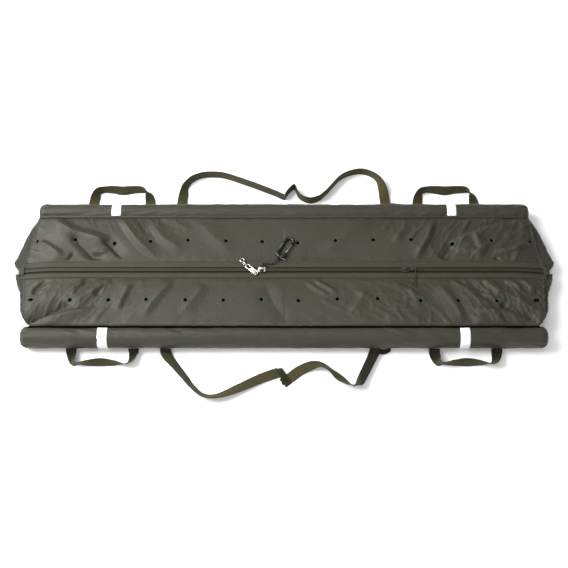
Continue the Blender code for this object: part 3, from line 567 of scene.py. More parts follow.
def woven_relief() -> None:
    """Threads that pass over and under each other, counted per metre each way."""
    board, take = new_group("woven_relief", Vector=None, Warp=2000.0, Weft=2000.0)
    split = board.add("ShaderNodeSeparateXYZ", {0: take["Vector"]})
    lines, cells = [], []
    for axis, count in (("X", "Weft"), ("Y", "Warp")):
        run = board.math("MULTIPLY", split.outputs[axis], take[count])
        wave = board.math("SINE", board.math("MULTIPLY", run, math.pi))
        lines.append(board.math("ABSOLUTE", wave))
        cells.append(board.math("FLOOR", run))
    turn = board.math("FLOORED_MODULO", board.math("ADD", *cells), 2.0)
    over = board.math("MULTIPLY", lines[0], board.math("SUBTRACT", 1.25, turn))
    under = board.math("MULTIPLY", lines[1], board.math("ADD", 0.25, turn))
    board.give(Height=board.math("MAXIMUM", over, under))


def cloth_mottle() -> None:
    """Cloth colour that drifts over a wide scale and flecks over a fine one."""
    board, take = new_group("cloth_mottle", Vector=None, Colour=(0.1, 0.1, 0.08, 1),
                            Worn=(0.2, 0.2, 0.17, 1), Drift=7.0, Fleck=900.0, Strength=0.3)
    patch = board.fit(board.grain(take["Vector"], take["Drift"], 3.0, 0.55), 0.35, 0.68)
    worn = board.math("MULTIPLY", patch, take["Strength"])
    fleck = board.fit(board.grain(take["Vector"], take["Fleck"], 2.0), 0.3, 0.7, 0.86, 1.12)
    board.give(Colour=board.tint(board.mix(worn, take["Colour"], take["Worn"]), fleck), Patch=patch)


def handled_wear() -> None:
    """Fine scratches and rubbed spots on hard pieces."""
    board, take = new_group("handled_wear", Vector=None, Colour=(0.5, 0.5, 0.5, 1),
                            Rubbed=(0.7, 0.7, 0.7, 1), Scale=400.0, Roughness=0.3)
    turned = board.add("ShaderNodeMapping", {"Vector": take["Vector"], "Scale": (0.15, 1.0, 1.0),
                                             "Rotation": (0.3, 0.2, 0.7)})
    lines = board.grain(turned.outputs[0], take["Scale"], 4.0, 0.7)
    scratch = board.fit(lines, 0.56, 0.7)
    spots = board.fit(board.grain(take["Vector"], 130.0, 3.0), 0.6, 0.75)
    rubbed = board.math("MAXIMUM", board.math("MULTIPLY", scratch, 0.5), spots)
    rough = board.math("ADD", take["Roughness"], board.math("MULTIPLY", scratch, 0.16))
    board.give(Colour=board.mix(rubbed, take["Colour"], take["Rubbed"]), Roughness=rough,
               Height=lines)


def small_crumple() -> None:
    """The fine crumples of coated cloth: short sharp lines that cross at a slant."""
    board, take = new_group("small_crumple", Vector=None, Scale=70.0)
    heights = []
    for turn, stretch, share in ((0.6, 2.6, 1.0), (-0.7, 2.2, 0.7), (0.15, 1.0, 0.5)):
        laid = board.add("ShaderNodeMapping",
                         {"Vector": take["Vector"], "Rotation": (0.0, 0.0, turn),
                          "Scale": (1.0, stretch, 1.0)})
        size = board.math("MULTIPLY", take["Scale"], 1.0 + 0.8 * share)
        level = board.math("SUBTRACT", board.grain(laid.outputs[0], size, 2.5, 0.55), 0.5)
        edge = board.fit(board.math("ABSOLUTE", level), 0.0, 0.16, 1.0, 0.0)
        heights.append(board.math("MULTIPLY", edge, share))
    board.give(Height=board.math("ADD", board.math("ADD", *heights[:2]), heights[2]))


@dataclass(frozen=True)
class Finish:
    """What every finish has.

    Args:
        name: the material's name.
        colour: its main colour, linear.
        worn: the colour where it is rubbed or faded.
        roughness: how matt it is.
    """

    name: str
    colour: Colour
    worn: Colour
    roughness: float = 0.7

    def build(self) -> bpy.types.Material:
        """Make the material, whose nodes feed one shader."""
        made = bpy.data.materials.new(self.name)
        made.use_nodes = True
        made.diffuse_color = opaque(self.colour)
        board = NodeBoard(made.node_tree)
        shader = board.add("ShaderNodeBsdfPrincipled", {"Roughness": self.roughness})
        board.add("ShaderNodeOutputMaterial", {"Surface": shader.outputs[0]})
        board.feed(shader, self.surface(board, board.add("ShaderNodeTexCoord").outputs))
        return made

    def surface(self, board: NodeBoard, where: bpy.types.NodeOutputs) -> dict[str, object]:
        """What feeds the shader, from places on the piece and on its cloth map."""
        raise NotImplementedError

    def mottle(self, board: NodeBoard, where: bpy.types.NodeOutputs, drift: float,
               strength: float) -> bpy.types.NodeOutputs:
        """The finish's colours in patches of a width and a strength, and the patches."""
        return board.group("cloth_mottle", {
            "Vector": where["Object"], "Colour": opaque(self.colour), "Worn": opaque(self.worn),
            "Drift": drift, "Strength": strength})


@dataclass(frozen=True)
class WovenFinish(Finish):
    """Cloth, tape and webbing, whose threads follow the piece's own cloth map.

    Args:
        warp: threads per metre across the cloth.
        weft: threads per metre along it.
        relief: how far the threads stand out, in metres.
        drift: how wide the patches of faded colour are.
        strength: how strong the patches are.
        sheen: how much soft light the nap gives back.
        thread_tone: how much darker every other thread is.
        ridge: how strongly stored painted light lifts its crests and darkens its valleys and legs.
        gloss: how much light its surface throws back, 0.5 as most plastics.
        crumple: how high its fine crumples stand, in metres.
    """

    warp: float = 2200.0
    weft: float = 2200.0
    relief: float = 0.00004
    drift: float = 7.0
    strength: float = 0.4
    sheen: float = 0.0
    thread_tone: float = 0.08
    ridge: float = 0.0
    gloss: float = 0.5
    crumple: float = 0.0

    def surface(self, board: NodeBoard, where: bpy.types.NodeOutputs) -> dict[str, object]:
        """What feeds the shader: threads over crumples, in mottled colour."""
        weave = board.group("woven_relief",
                            {"Vector": where["UV"], "Warp": self.warp, "Weft": self.weft})["Height"]
        mottle = self.mottle(board, where, self.drift, self.strength)
        tone = board.fit(weave, 0.1, 0.9, 1 - 2.2 * self.thread_tone, 1 + self.thread_tone)
        colour = board.tint(mottle["Colour"], tone)
        # painted light: crests lighter as painted highlight over some rubbed wear,
        # valleys and webbing legs darker as painted shade
        if self.ridge:
            level = board.add("ShaderNodeAttribute", attribute_name="ridge").outputs["Fac"]
            colour = board.tint(colour, board.fit(level, 0.0, 1.0, 1 - self.ridge, 1 + self.ridge))
        crushed = None
        if self.crumple:
            small = board.group("small_crumple", {"Vector": where["UV"]})["Height"]
            crushed = board.bump(small, self.crumple, 1.0)
        return {"Base Color": colour, "Normal": board.bump(weave, self.relief, 0.8, crushed),
                "Roughness": board.fit(mottle["Patch"], 0.0, 1.0, self.roughness - 0.06,
                                       self.roughness + 0.05), "Sheen Weight": self.sheen,
                "Sheen Roughness": 0.45, "Specular IOR Level": self.gloss}


@dataclass(frozen=True)
class MeshFinish(Finish):
    """Knitted mesh: threads round open cells.

    Args:
        cells: cells per metre.
        open_share: how much of each cell is open.
        rim: the width of the threads' soft edge, to a cell.
    """

    cells: float = 420.0
    open_share: float = 0.5
    rim: float = 0.12

    def surface(self, board: NodeBoard, where: bpy.types.NodeOutputs) -> dict[str, object]:
        """What feeds the shader: rows of round cells, each row shifted by half a cell."""
        split = board.add("ShaderNodeSeparateXYZ", {0: where["UV"]})
        along = board.math("MULTIPLY", split.outputs["X"], self.cells)
        across = board.math("MULTIPLY", split.outputs["Y"], self.cells * 1.1547)
        odd = board.math("FLOORED_MODULO", board.math("FLOOR", across), 2.0)
        shifted = board.math("ADD", along, board.math("MULTIPLY", odd, 0.5))
        squares = []
        for run in (shifted, across):
            off = board.math("SUBTRACT", board.math("FRACT", run), 0.5)
            squares.append(board.math("MULTIPLY", off, off))
        edge = 0.30 + 0.2 * self.open_share
        thread = board.fit(board.math("SQRT", board.math("ADD", *squares)), edge - self.rim, edge)
        return {"Base Color": self.mottle(board, where, 30.0, 0.5)["Colour"], "Alpha": thread,
                "Normal": board.bump(thread, 0.0004, 0.9)}


@dataclass(frozen=True)
class ReflectiveFinish(Finish):
    """Retroreflective tape: a near-white face of painted reflection, with a fine pressed honeycomb.

    Args:
        cells: honeycomb cells per metre.
    """

    cells: float = 300.0

    def surface(self, board: NodeBoard, where: bpy.types.NodeOutputs) -> dict[str, object]:
        """What feeds the shader: the honeycomb's ridges, and soil in patches."""
        comb = board.add("ShaderNodeTexVoronoi",
                         {"Vector": where["UV"], "Scale": self.cells, "Randomness": 0.15},
                         feature="DISTANCE_TO_EDGE")
        ridge = board.fit(comb.outputs["Distance"], 0.02, 0.10)
        dull = board.fit(board.grain(where["Object"], 60.0, 4.0), 0.5, 0.75, 0.0, 0.5)
        face = board.mix(ridge, opaque(self.worn), opaque(self.colour))
        return {
            "Base Color": board.mix(dull, face, opaque(self.worn)),
            "Roughness": board.fit(dull, 0.0, 0.5, self.roughness, self.roughness + 0.15),
            "Normal": board.bump(ridge, 0.00008, 0.6), "Coat Weight": 0.25, "Coat Roughness": 0.2}


@dataclass(frozen=True)
class CordFinish(Finish):
    """Braided cord, whose strands turn round it both ways.

    Args:
        pitch: strands per metre along the cord.
        turns: how steeply they turn.
    """

    pitch: float = 620.0
    turns: float = 420.0

    def surface(self, board: NodeBoard, where: bpy.types.NodeOutputs) -> dict[str, object]:
        """What feeds the shader: strands that cross."""
        split = board.add("ShaderNodeSeparateXYZ", {0: where["UV"]})
        strands = []
        for way in (1, -1):
            run = board.math("ADD", board.math("MULTIPLY", split.outputs["X"], self.pitch),
                             board.math("MULTIPLY", split.outputs["Y"], way * self.turns))
            strands.append(board.math("ABSOLUTE",
                                      board.math("SINE", board.math("MULTIPLY", run, math.pi))))
        height = board.math("MAXIMUM", *strands)
        colour = board.mix(board.fit(height, 0.55, 1.0), opaque(self.colour, 0.55),
                           opaque(self.worn))
        return {"Base Color": colour, "Normal": board.bump(height, 0.0003, 0.9),
                "Sheen Weight": 0.15}


@dataclass(frozen=True)
class HardFinish(Finish):
    """Plated, painted and moulded pieces.

    Args:
        metallic: 1 for bare metal, 0 for paint and plastic.
        grain: how fine the scratches or the mould's grain are.
        relief: how far the grain stands out, in metres.
        coat: how much clear gloss lies on top.
    """

    metallic: float = 0.0
    grain: float = 900.0
    relief: float = 0.00002
    coat: float = 0.0

    def surface(self, board: NodeBoard, where: bpy.types.NodeOutputs) -> dict[str, object]:
        """What feeds the shader: rubbed metal, paint or plastic under its gloss."""
        wear = board.group("handled_wear", {
            "Vector": where["Object"], "Colour": opaque(self.colour), "Rubbed": opaque(self.worn),
            "Scale": self.grain, "Roughness": self.roughness})
        return {"Base Color": wear["Colour"], "Roughness": wear["Roughness"],
                "Metallic": self.metallic, "Normal": board.bump(wear["Height"], self.relief, 0.5),
                "Coat Weight": self.coat, "Coat Roughness": 0.12}


@dataclass(frozen=True)
class FoamFinish(Finish):
    """Closed-cell foam with its small bubbles."""

    def surface(self, board: NodeBoard, where: bpy.types.NodeOutputs) -> dict[str, object]:
        """What feeds the shader: small pits."""
        cells = board.add("ShaderNodeTexVoronoi", {"Vector": where["Object"], "Scale": 900.0})
        pit = board.fit(cells.outputs["Distance"], 0.1, 0.6)
        return {"Base Color": board.mix(pit, opaque(self.worn), opaque(self.colour)),
                "Normal": board.bump(pit, 0.0003, 0.7)}


FINISHES: tuple[Finish, ...] = (
    WovenFinish("coated_cloth", (0.0240, 0.0226, 0.0128), (0.0335, 0.0316, 0.0192), 0.54,
                sheen=0.03, gloss=0.40, crumple=0.0002),
    # cover cloth: its ridge adds painted highlight on crests and painted shade in valleys
    WovenFinish("cover_cloth", (0.0240, 0.0226, 0.0128), (0.0335, 0.0316, 0.0192), 0.54, sheen=0.03,
                gloss=0.40, ridge=0.24, crumple=0.0002),
    WovenFinish("belly_cloth", (0.045, 0.042, 0.030), (0.060, 0.056, 0.042), 0.62, drift=12.0),
    WovenFinish("mesh_lining", (0.022, 0.020, 0.014), (0.032, 0.029, 0.021), 0.8, drift=12.0),
    WovenFinish("binding", (0.021, 0.019, 0.011), (0.030, 0.027, 0.018), 0.7, 900.0, 700.0,
                0.00010),
    WovenFinish("zip_tape", (0.0228, 0.0200, 0.0086), (0.0335, 0.0300, 0.0142), 0.72, 1500.0, 900.0,
                0.00010, drift=22.0, thread_tone=0.12),
    # seam_shade: near-black, painted shade for the seam groove
    WovenFinish("seam_shade", (0.0014, 0.0011, 0.0006), (0.0026, 0.0020, 0.0012), 0.9, 1500.0,
                900.0, 0.00010, gloss=0.03),
    # painted shade: the dark flap under and beside the zip's teeth
    WovenFinish("zip_bed", (0.0175, 0.0145, 0.0065), (0.0240, 0.0200, 0.0100), 0.9, 1500.0, 900.0,
                0.00010, gloss=0.10),
    # webbing: its ridge darkens the legs and loops as painted shade
    WovenFinish("webbing", (0.0420, 0.0370, 0.0150), (0.0700, 0.0632, 0.0315), 0.78, 900.0, 620.0,
                0.00026, drift=16.0, strength=0.35, sheen=0.06, thread_tone=0.16, ridge=0.84,
                gloss=0.16),
    WovenFinish("thread", (0.070, 0.062, 0.038), (0.095, 0.086, 0.056), 0.7, 3000.0, 3000.0,
                0.00005),
    MeshFinish("end_mesh", (0.038, 0.036, 0.025), (0.066, 0.064, 0.047), 0.8),
    # pale silver-grey tape whose colour is lifted to near white as painted reflection
    ReflectiveFinish("reflective", (0.93, 0.94, 0.94), (0.80, 0.81, 0.81), 0.38),
    CordFinish("black_cord", (0.0035, 0.0035, 0.0032), (0.012, 0.012, 0.011), 0.80),
    HardFinish("zip_coil", (0.0165, 0.0142, 0.0052), (0.030, 0.0265, 0.0130), 0.55, grain=1500.0),
    HardFinish("nickel", (0.74, 0.73, 0.70), (0.86, 0.86, 0.84), 0.20, metallic=1.0, coat=0.15),
    HardFinish("clip_steel", (0.30, 0.30, 0.29), (0.62, 0.62, 0.60), 0.28, metallic=1.0),
    HardFinish("dark_metal", (0.016, 0.014, 0.009), (0.085, 0.070, 0.045), 0.42, coat=0.15),
    HardFinish("black_plastic", (0.0035, 0.0035, 0.0035), (0.012, 0.012, 0.012), 0.42, grain=700.0,
               coat=0.22),
    FoamFinish("foam", (0.56, 0.56, 0.54), (0.42, 0.42, 0.40), 0.9),
)


def make_finishes() -> dict[str, bpy.types.Material]:
    """Build the shared groups and every finish, by name."""
    for group in (woven_relief, cloth_mottle, handled_wear, small_crumple):
        group()
    return {finish.name: finish.build() for finish in FINISHES}


@dataclass
class Wardrobe:
    """Dresses pieces: gives each its finish, its body and the CAD nodes that it stands for.

    Args:
        finishes: the materials by name.
    """

    finishes: dict[str, bpy.types.Material]

    def dress(self, piece: bpy.types.Object, finish: str, body: str, stands_for: Iterable[str] = (),
              bends_to: tuple[str, Point, Point] | None = None) -> bpy.types.Object:
        """Finish a piece and place it on its body.

        Args:
            piece: the piece.
            finish: its material's name.
            body: the body that it rides on.
            stands_for: the CAD nodes that it replaces.
            bends_to: a crossed joint's body and bend ends; only whether it is given is used.

        Returns:
            The piece.
        """
        piece.data.materials.clear()
        piece.data.materials.append(self.finishes[finish])
        if bends_to:
            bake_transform(piece)
        else:
            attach(piece, body)
        if stands_for:
            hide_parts(*stands_for)
        LOG.info("%s: %s, on %s", piece.name, finish, body)
        return piece


# The cloth parts' plan
def table_value(table: Sequence[Sequence[float]], at: float, column: int = 1) -> float:
    """Read a smooth value between a table's rows, which are in order of their first column."""
    for low, high in zip(table, table[1:]):
        if at <= high[0]:
            part = (at - low[0]) / (high[0] - low[0])
            part = smooth(part) * 0.4 + clamp(part) * 0.6
            return low[column] + (high[column] - low[column]) * part
    return table[-1][column]


@dataclass(frozen=True)
class SlingPlan:
    """The sling's main sizes, in metres, as its frame has them.

    Args:
        float_length: length of a float.
        float_radius: radius of a float's sleeve.
        float_centre: from the zip to a float's axis.
        float_axis: height of a float's axis.
        seam_angle: where a cover joins its float, up from the float's inner side.
        seam_height: height of that seam.
        cover_inner: from the zip's middle to a cover's inner edge.
        cover_outer: from the zip's middle to a cover's outer edge.
        zip_half: half a cover's length at the zip.
        seam_half: half its length at the seam.
        crown: how far a cover bellies up.
        droop: how far its ends hang.
        droop_length: over what length they do.
    """

    float_length: float = 1.2
    float_radius: float = 0.025
    float_centre: float = 0.1685
    float_axis: float = 0.0258
    seam_angle: float = 45.0
    seam_height: float = 0.04347767
    cover_inner: float = 0.0216
    cover_outer: float = 0.14952233
    zip_half: float = 0.616
    seam_half: float = 0.597
    crown: float = 0.0035
    droop: float = 0.005
    droop_length: float = 0.060

    def share_at(self, y: float) -> float:
        """Share of the way from the zip to the seam at a distance from the zip."""
        return (abs(y) - self.cover_inner) / (self.cover_outer - self.cover_inner)

    FAR_ENDS = ((0.0, 0.0), (0.3, -0.0080), (0.6, -0.0140), (0.85, -0.0180), (1.0, -0.0225))
    NEAR_ENDS = ((0.0, -0.0020), (0.3, -0.0080), (0.6, -0.0110), (0.8, -0.0140), (0.92, -0.0235),
                 (1.0, -0.0340))

    def end_at(self, side: Side, share: float) -> float:
        """Half a cover's length at a share of the way to the seam, with its worn corners."""
        return self.zip_half + table_value(self.FAR_ENDS if side is Side.FAR else self.NEAR_ENDS,
                                           share)

    def height_at(self, share: float, x: float) -> float:
        """Height of a cover's middle at a share of the way to the seam."""
        part = clamp(share)
        into_end = max(0.0, abs(x) - (self.seam_half - self.droop_length)) / self.droop_length
        crown = self.crown * math.sin(math.pi * part) * (1 - min(into_end, 1.0) ** 2)
        return self.seam_height + crown - self.droop * min(into_end, 1.2) ** 2 * (1 - part * part)

    def on_float(self, side: Side, x: float, angle: float, radius: float) -> Vector:
        """A place round a float's axis, its angle in degrees up from the float's outer side."""
        turn = math.radians(angle)
        y = self.float_centre + radius * math.cos(turn)
        return Vector((x, side.value * y, self.float_axis + radius * math.sin(turn)))


@dataclass(frozen=True)
class Crease:
    """A sharp fold in a cover, along a line on the ground plan.

    Args:
        line: the fold's points.
        left: how far its slope runs on the line's left side.
        right: how far it runs on the right.
        height: the crest's height, negative for a valley.
        power: 1 for straight slopes, more for hollow ones.
        fade: the share of its length over which each end fades.
    """

    line: tuple[tuple[float, float], ...]
    left: float
    right: float
    height: float
    power: float = 1.4
    fade: float = 0.3

    def rise(self, x: float, y: float) -> float:
        """How far the cloth rises at a place."""
        best, offset, at = 1e9, 0.0, 0.0
        spans = len(self.line) - 1
        for i in range(spans):
            share, off = flat_distance(x, y, self.line[i], self.line[i + 1])
            a, b = self.line[i], self.line[i + 1]
            held = clamp(share)
            far = math.hypot(x - (a[0] + (b[0] - a[0]) * held), y - (a[1] + (b[1] - a[1]) * held))
            if far < best:
                best, offset, at = far, off, (i + held) / spans
        reach = self.left if offset > 0 else self.right
        if best >= reach:
            return 0.0
        ends = smooth(min(at, 1 - at) / self.fade + 0.12)
        return self.height * ends * (1 - best / reach) ** self.power


FAR_CREASES: tuple[Crease, ...] = (
    Crease(((-0.570, 0.146), (-0.515, 0.106), (-0.462, 0.087), (-0.405, 0.070)), 0.020, 0.050,
           0.0046),
    Crease(((-0.517, 0.104), (-0.489, 0.069), (-0.457, 0.038), (-0.425, 0.026)), 0.040, 0.018,
           -0.0030),
    Crease(((-0.438, 0.080), (-0.414, 0.062), (-0.380, 0.028)), 0.026, 0.010, -0.0030),
    Crease(((-0.400, 0.149), (-0.372, 0.105), (-0.345, 0.068), (-0.300, 0.030)), 0.030, 0.014,
           0.0030),
    Crease(((-0.593, 0.080), (-0.560, 0.062), (-0.522, 0.030)), 0.012, 0.022, 0.0024),
    Crease(((-0.523, 0.014), (-0.510, 0.030), (-0.500, 0.047)), 0.010, 0.005, -0.0022, fade=0.25),
    Crease(((-0.460, 0.050), (-0.440, 0.048), (-0.418, 0.052)), 0.008, 0.010, 0.0020),
    Crease(((-0.330, 0.140), (-0.290, 0.085), (-0.240, 0.050)), 0.030, 0.022, 0.0016),
    Crease(((-0.215, 0.147), (-0.175, 0.095), (-0.120, 0.040)), 0.040, 0.030, 0.0009),
    Crease(((0.085, 0.040), (0.140, 0.090), (0.190, 0.143)), 0.030, 0.036, 0.0010),
    Crease(((0.575, 0.140), (0.493, 0.113), (0.433, 0.090), (0.405, 0.062)), 0.045, 0.016, 0.0044),
    Crease(((0.412, 0.072), (0.392, 0.040), (0.378, 0.024)), 0.016, 0.032, -0.0032),
    Crease(((0.502, 0.038), (0.522, 0.014)), 0.005, 0.010, -0.0022),
    Crease(((0.500, 0.045), (0.548, 0.056), (0.595, 0.078)), 0.018, 0.010, 0.0024),
    Crease(((0.362, 0.145), (0.347, 0.088), (0.310, 0.028)), 0.012, 0.030, 0.0026),
    Crease(((0.300, 0.140), (0.262, 0.070)), 0.020, 0.026, 0.0014),
    Crease(((0.455, 0.100), (0.470, 0.060), (0.452, 0.036)), 0.020, 0.012, 0.0020),
)
NEAR_CREASES: tuple[Crease, ...] = (
    Crease(((-0.592, -0.141), (-0.545, -0.118), (-0.498, -0.092)), 0.036, 0.007, -0.0052, fade=0.2),
    Crease(((-0.560, -0.136), (-0.500, -0.118), (-0.430, -0.106)), 0.012, 0.026, 0.0028),
    Crease(((-0.506, -0.066), (-0.488, -0.046), (-0.468, -0.028)), 0.010, 0.016, 0.0030),
    Crease(((-0.586, -0.068), (-0.582, -0.052), (-0.556, -0.026)), 0.007, 0.014, -0.0024),
    Crease(((-0.500, -0.098), (-0.455, -0.066), (-0.402, -0.028)), 0.030, 0.024, 0.0030),
    Crease(((-0.442, -0.074), (-0.414, -0.036)), 0.012, 0.018, -0.0018),
    Crease(((-0.386, -0.110), (-0.372, -0.070), (-0.360, -0.036)), 0.024, 0.012, 0.0022),
    Crease(((-0.330, -0.130), (-0.292, -0.070), (-0.262, -0.030)), 0.026, 0.016, 0.0017),
    Crease(((-0.240, -0.120), (-0.205, -0.070), (-0.188, -0.040)), 0.020, 0.024, 0.0012),
    Crease(((-0.046, -0.038), (-0.026, -0.090), (0.014, -0.146)), 0.026, 0.044, -0.0012),
    Crease(((0.070, -0.026), (0.098, -0.046), (0.128, -0.066)), 0.007, 0.014, 0.0018),
    Crease(((0.050, -0.030), (0.075, -0.052), (0.110, -0.074)), 0.010, 0.012, 0.0012),
    Crease(((0.190, -0.050), (0.175, -0.085), (0.150, -0.120)), 0.026, 0.018, 0.0014),
    Crease(((0.586, -0.138), (0.540, -0.118), (0.494, -0.094)), 0.007, 0.034, -0.0048, fade=0.2),
    Crease(((0.560, -0.134), (0.500, -0.116), (0.430, -0.108)), 0.024, 0.012, 0.0024),
    Crease(((0.466, -0.026), (0.486, -0.048), (0.508, -0.072)), 0.016, 0.010, 0.0030),
    Crease(((0.520, -0.026), (0.556, -0.056)), 0.014, 0.009, 0.0022),
    Crease(((0.590, -0.046), (0.589, -0.070)), 0.006, 0.010, -0.0020),
    Crease(((0.356, -0.034), (0.392, -0.090), (0.415, -0.138)), 0.018, 0.028, 0.0022),
    Crease(((0.400, -0.024), (0.436, -0.046), (0.474, -0.088)), 0.020, 0.012, -0.0018),
    Crease(((0.290, -0.040), (0.318, -0.110)), 0.022, 0.022, 0.0010),
)


# How far the cloth's pulls have moved each drain hole, left to right, along and across the sling
HOLE_PULLS = {
    Side.FAR: (
        (-0.0032, 0.0007), (0.0008, 0.0007), (0.0043, -0.0080), (-0.0004, -0.0038),
        (-0.0022, 0.0008), (-0.0018, -0.0025), (-0.0065, -0.0037), (-0.0125, -0.0070),
        (-0.0131, -0.0017), (-0.0132, 0.0005), (-0.0142, 0.0000), (-0.0068, -0.0103),
        (-0.0038, -0.0019), (0.0011, -0.0021),
    ),
    Side.NEAR: (
        (0.0051, -0.0005), (0.0048, -0.0027), (0.0031, -0.0026), (-0.0007, -0.0025),
        (-0.0008, -0.0026), (-0.0036, -0.0025), (-0.0069, -0.0001), (-0.0117, -0.0035),
        (-0.0127, 0.0010), (-0.0100, 0.0010), (-0.0018, -0.0049), (-0.0059, -0.0051),
        (-0.0075, -0.0049), (-0.0078, -0.0027),
    ),
}


@dataclass
class CoverCloth:
    """One upper panel of coated cloth, from its float to the zip, with its row of drain holes.

    Args:
        side: which panel it is.
        plan: the sling's main sizes.
        creases: its folds.
        hole_row: from the zip's middle to the holes.
        hole_pitch: from hole to hole.
        hole_count: how many there are.
        hole_radius: their radius.
        hole_ease: how far round a hole's middle the cloth lies even.
        cells: cloth cells from hole to hole.
        ruffle: how strong the small wrinkles are.
        fold: how strong the creases are.
        thickness: the doubled cloth's thickness.
        lip: how far the outer edge turns down into the seam.
        lip_width: over what width it does.
        pull_width: how far from the holes the cloth's pulls reach.
        end_columns: how many columns stretch to an uneven end.
        spare_columns: how many even ones make room for them.
        ridge_reach: over how many rings of cells its crests are found, for its painted light.
        ridge_height: how high a crest stands that takes the full painted highlight.
    """

    side: Side
    plan: SlingPlan
    creases: tuple[Crease, ...]
    hole_row: float = 0.0805
    hole_pitch: float = 0.0912
    hole_count: int = 14
    hole_radius: float = 0.0042
    hole_ease: float = 0.013
    cells: int = 36
    ruffle: float = 1.25
    fold: float = 2.8
    thickness: float = 0.0011
    lip: float = 0.0024
    lip_width: float = 0.0052
    pull_width: float = 0.040
    end_columns: int = 12
    spare_columns: int = 6
    ridge_reach: int = 14
    ridge_height: float = 0.0022

    def pulled(self, x: float, y: float) -> tuple[float, float]:
        """Where the cloth's own pulls move a place on the ground plan."""
        pulls = HOLE_PULLS[self.side]
        at = clamp(x / self.hole_pitch + (self.hole_count - 1) / 2, 0, self.hole_count - 1)
        first = min(int(at), self.hole_count - 2)
        share = smooth(at - first)
        across = bell(abs(y) - self.hole_row, self.pull_width)
        ends = smooth((0.60 - abs(x)) / 0.012)
        dx, dy = ((a * (1 - share) + b * share) * across * ends
                  for a, b in zip(pulls[first], pulls[first + 1]))
        return x + dx, y + dy

    def rows(self) -> list[float]:
        """Distances of the cloth's rows from the zip's middle, with one row on the holes."""
        inner, outer = self.plan.cover_inner, self.plan.cover_outer
        step = self.hole_pitch / self.cells
        near = round((self.hole_row - inner) / step)
        beyond = round((outer - self.hole_row) / step)
        below = [inner + (self.hole_row - inner) * k / near for k in range(near)]
        return below + [self.hole_row + (outer - self.hole_row) * k / beyond
                        for k in range(beyond + 1)]

    def wrinkle(self, x: float, y: float) -> float:
        """Small folds at a place: slanting near the ends, gathered beside the seams."""
        seed = 3.7 if self.side is Side.FAR else 9.1
        share = clamp(self.plan.share_at(y))
        toward_end = smooth((abs(x) - 0.12) / 0.42)
        slant = math.radians(34 + 16 * toward_end) * (-1 if x * y > 0 else 1)
        u = x * math.cos(slant) - y * math.sin(slant)
        v = x * math.sin(slant) + y * math.cos(slant)
        broad = wander(x * 5, y * 9, seed + 11)
        level = wander(u * 6, v * 17, seed)
        where = smooth(wander(x * 5, y * 7, seed + 31) * 2 + 0.35 + 0.5 * toward_end)
        line = crest(wander(u * 4.0, v * 14, seed + 17), 0.20)
        hair = crest(wander(u * 15, v * 44, seed + 5), 0.16)
        kink = crest(wander(u * 24, v * 30, seed + 41), 0.14)
        rise = 0.0020 * broad + (0.0009 + 0.0010 * toward_end) * level
        right = 0.5 * smooth((x + 0.1) / 0.4) - 0.22 * smooth((-x - 0.28) / 0.25)
        lines = 0.0019 * line + 0.0010 * hair + 0.0006 * kink
        rise += where * lines * (0.35 + toward_end) * (1 + right)
        gathers = wander(x * 60, 0.3, seed + 23) * math.exp(-share * 14)
        gathers += 1.3 * wander(x * 42, 0.6, seed + 29) * math.exp(-(1 - share) * 9)
        edge = smooth(share * 9) * smooth((1 - share) * 8)
        return self.ruffle * (rise * edge
                              + 0.0013 * gathers * smooth(share * 30) * smooth((1 - share) * 22))

    def eased(self, x: float, y: float) -> tuple[float, float]:
        """Draw a place near a drain hole to its middle, so that the cloth lies even round it."""
        last = self.hole_count / 2 - 0.5
        middle_x = min(math.floor(abs(x) / self.hole_pitch) + 0.5, last) * self.hole_pitch
        middle = (math.copysign(middle_x, x), math.copysign(self.hole_row, y))
        share = smooth(math.dist((x, y), middle) / self.hole_ease)
        return middle[0] + (x - middle[0]) * share, middle[1] + (y - middle[1]) * share

    def height(self, x: float, y: float) -> float:
        """Height of the cloth's middle at a place."""
        share = self.plan.share_at(y)
        edge = smooth(share * 12) * smooth((1 - share) * 12)
        spot = self.eased(x, y)
        folds = self.fold * sum(crease.rise(*spot) for crease in self.creases) * edge
        to_seam = (1 - share) * (self.plan.cover_outer - self.plan.cover_inner)
        wave = 1 + 0.5 * wander(x * 23, 2.0, 4.0 * self.side.value)
        lip = self.lip * wave * max(0.0, 1 - to_seam / self.lip_width) ** 1.6
        return self.plan.height_at(share, x) + self.wrinkle(*spot) + folds - lip

    def spot(self, x: float, y: float, lift: float) -> Vector:
        """A place on the cloth at a distance from the zip, lifted off its middle."""
        y *= self.side.value
        return Vector((x, y, self.height(x, y) + lift))

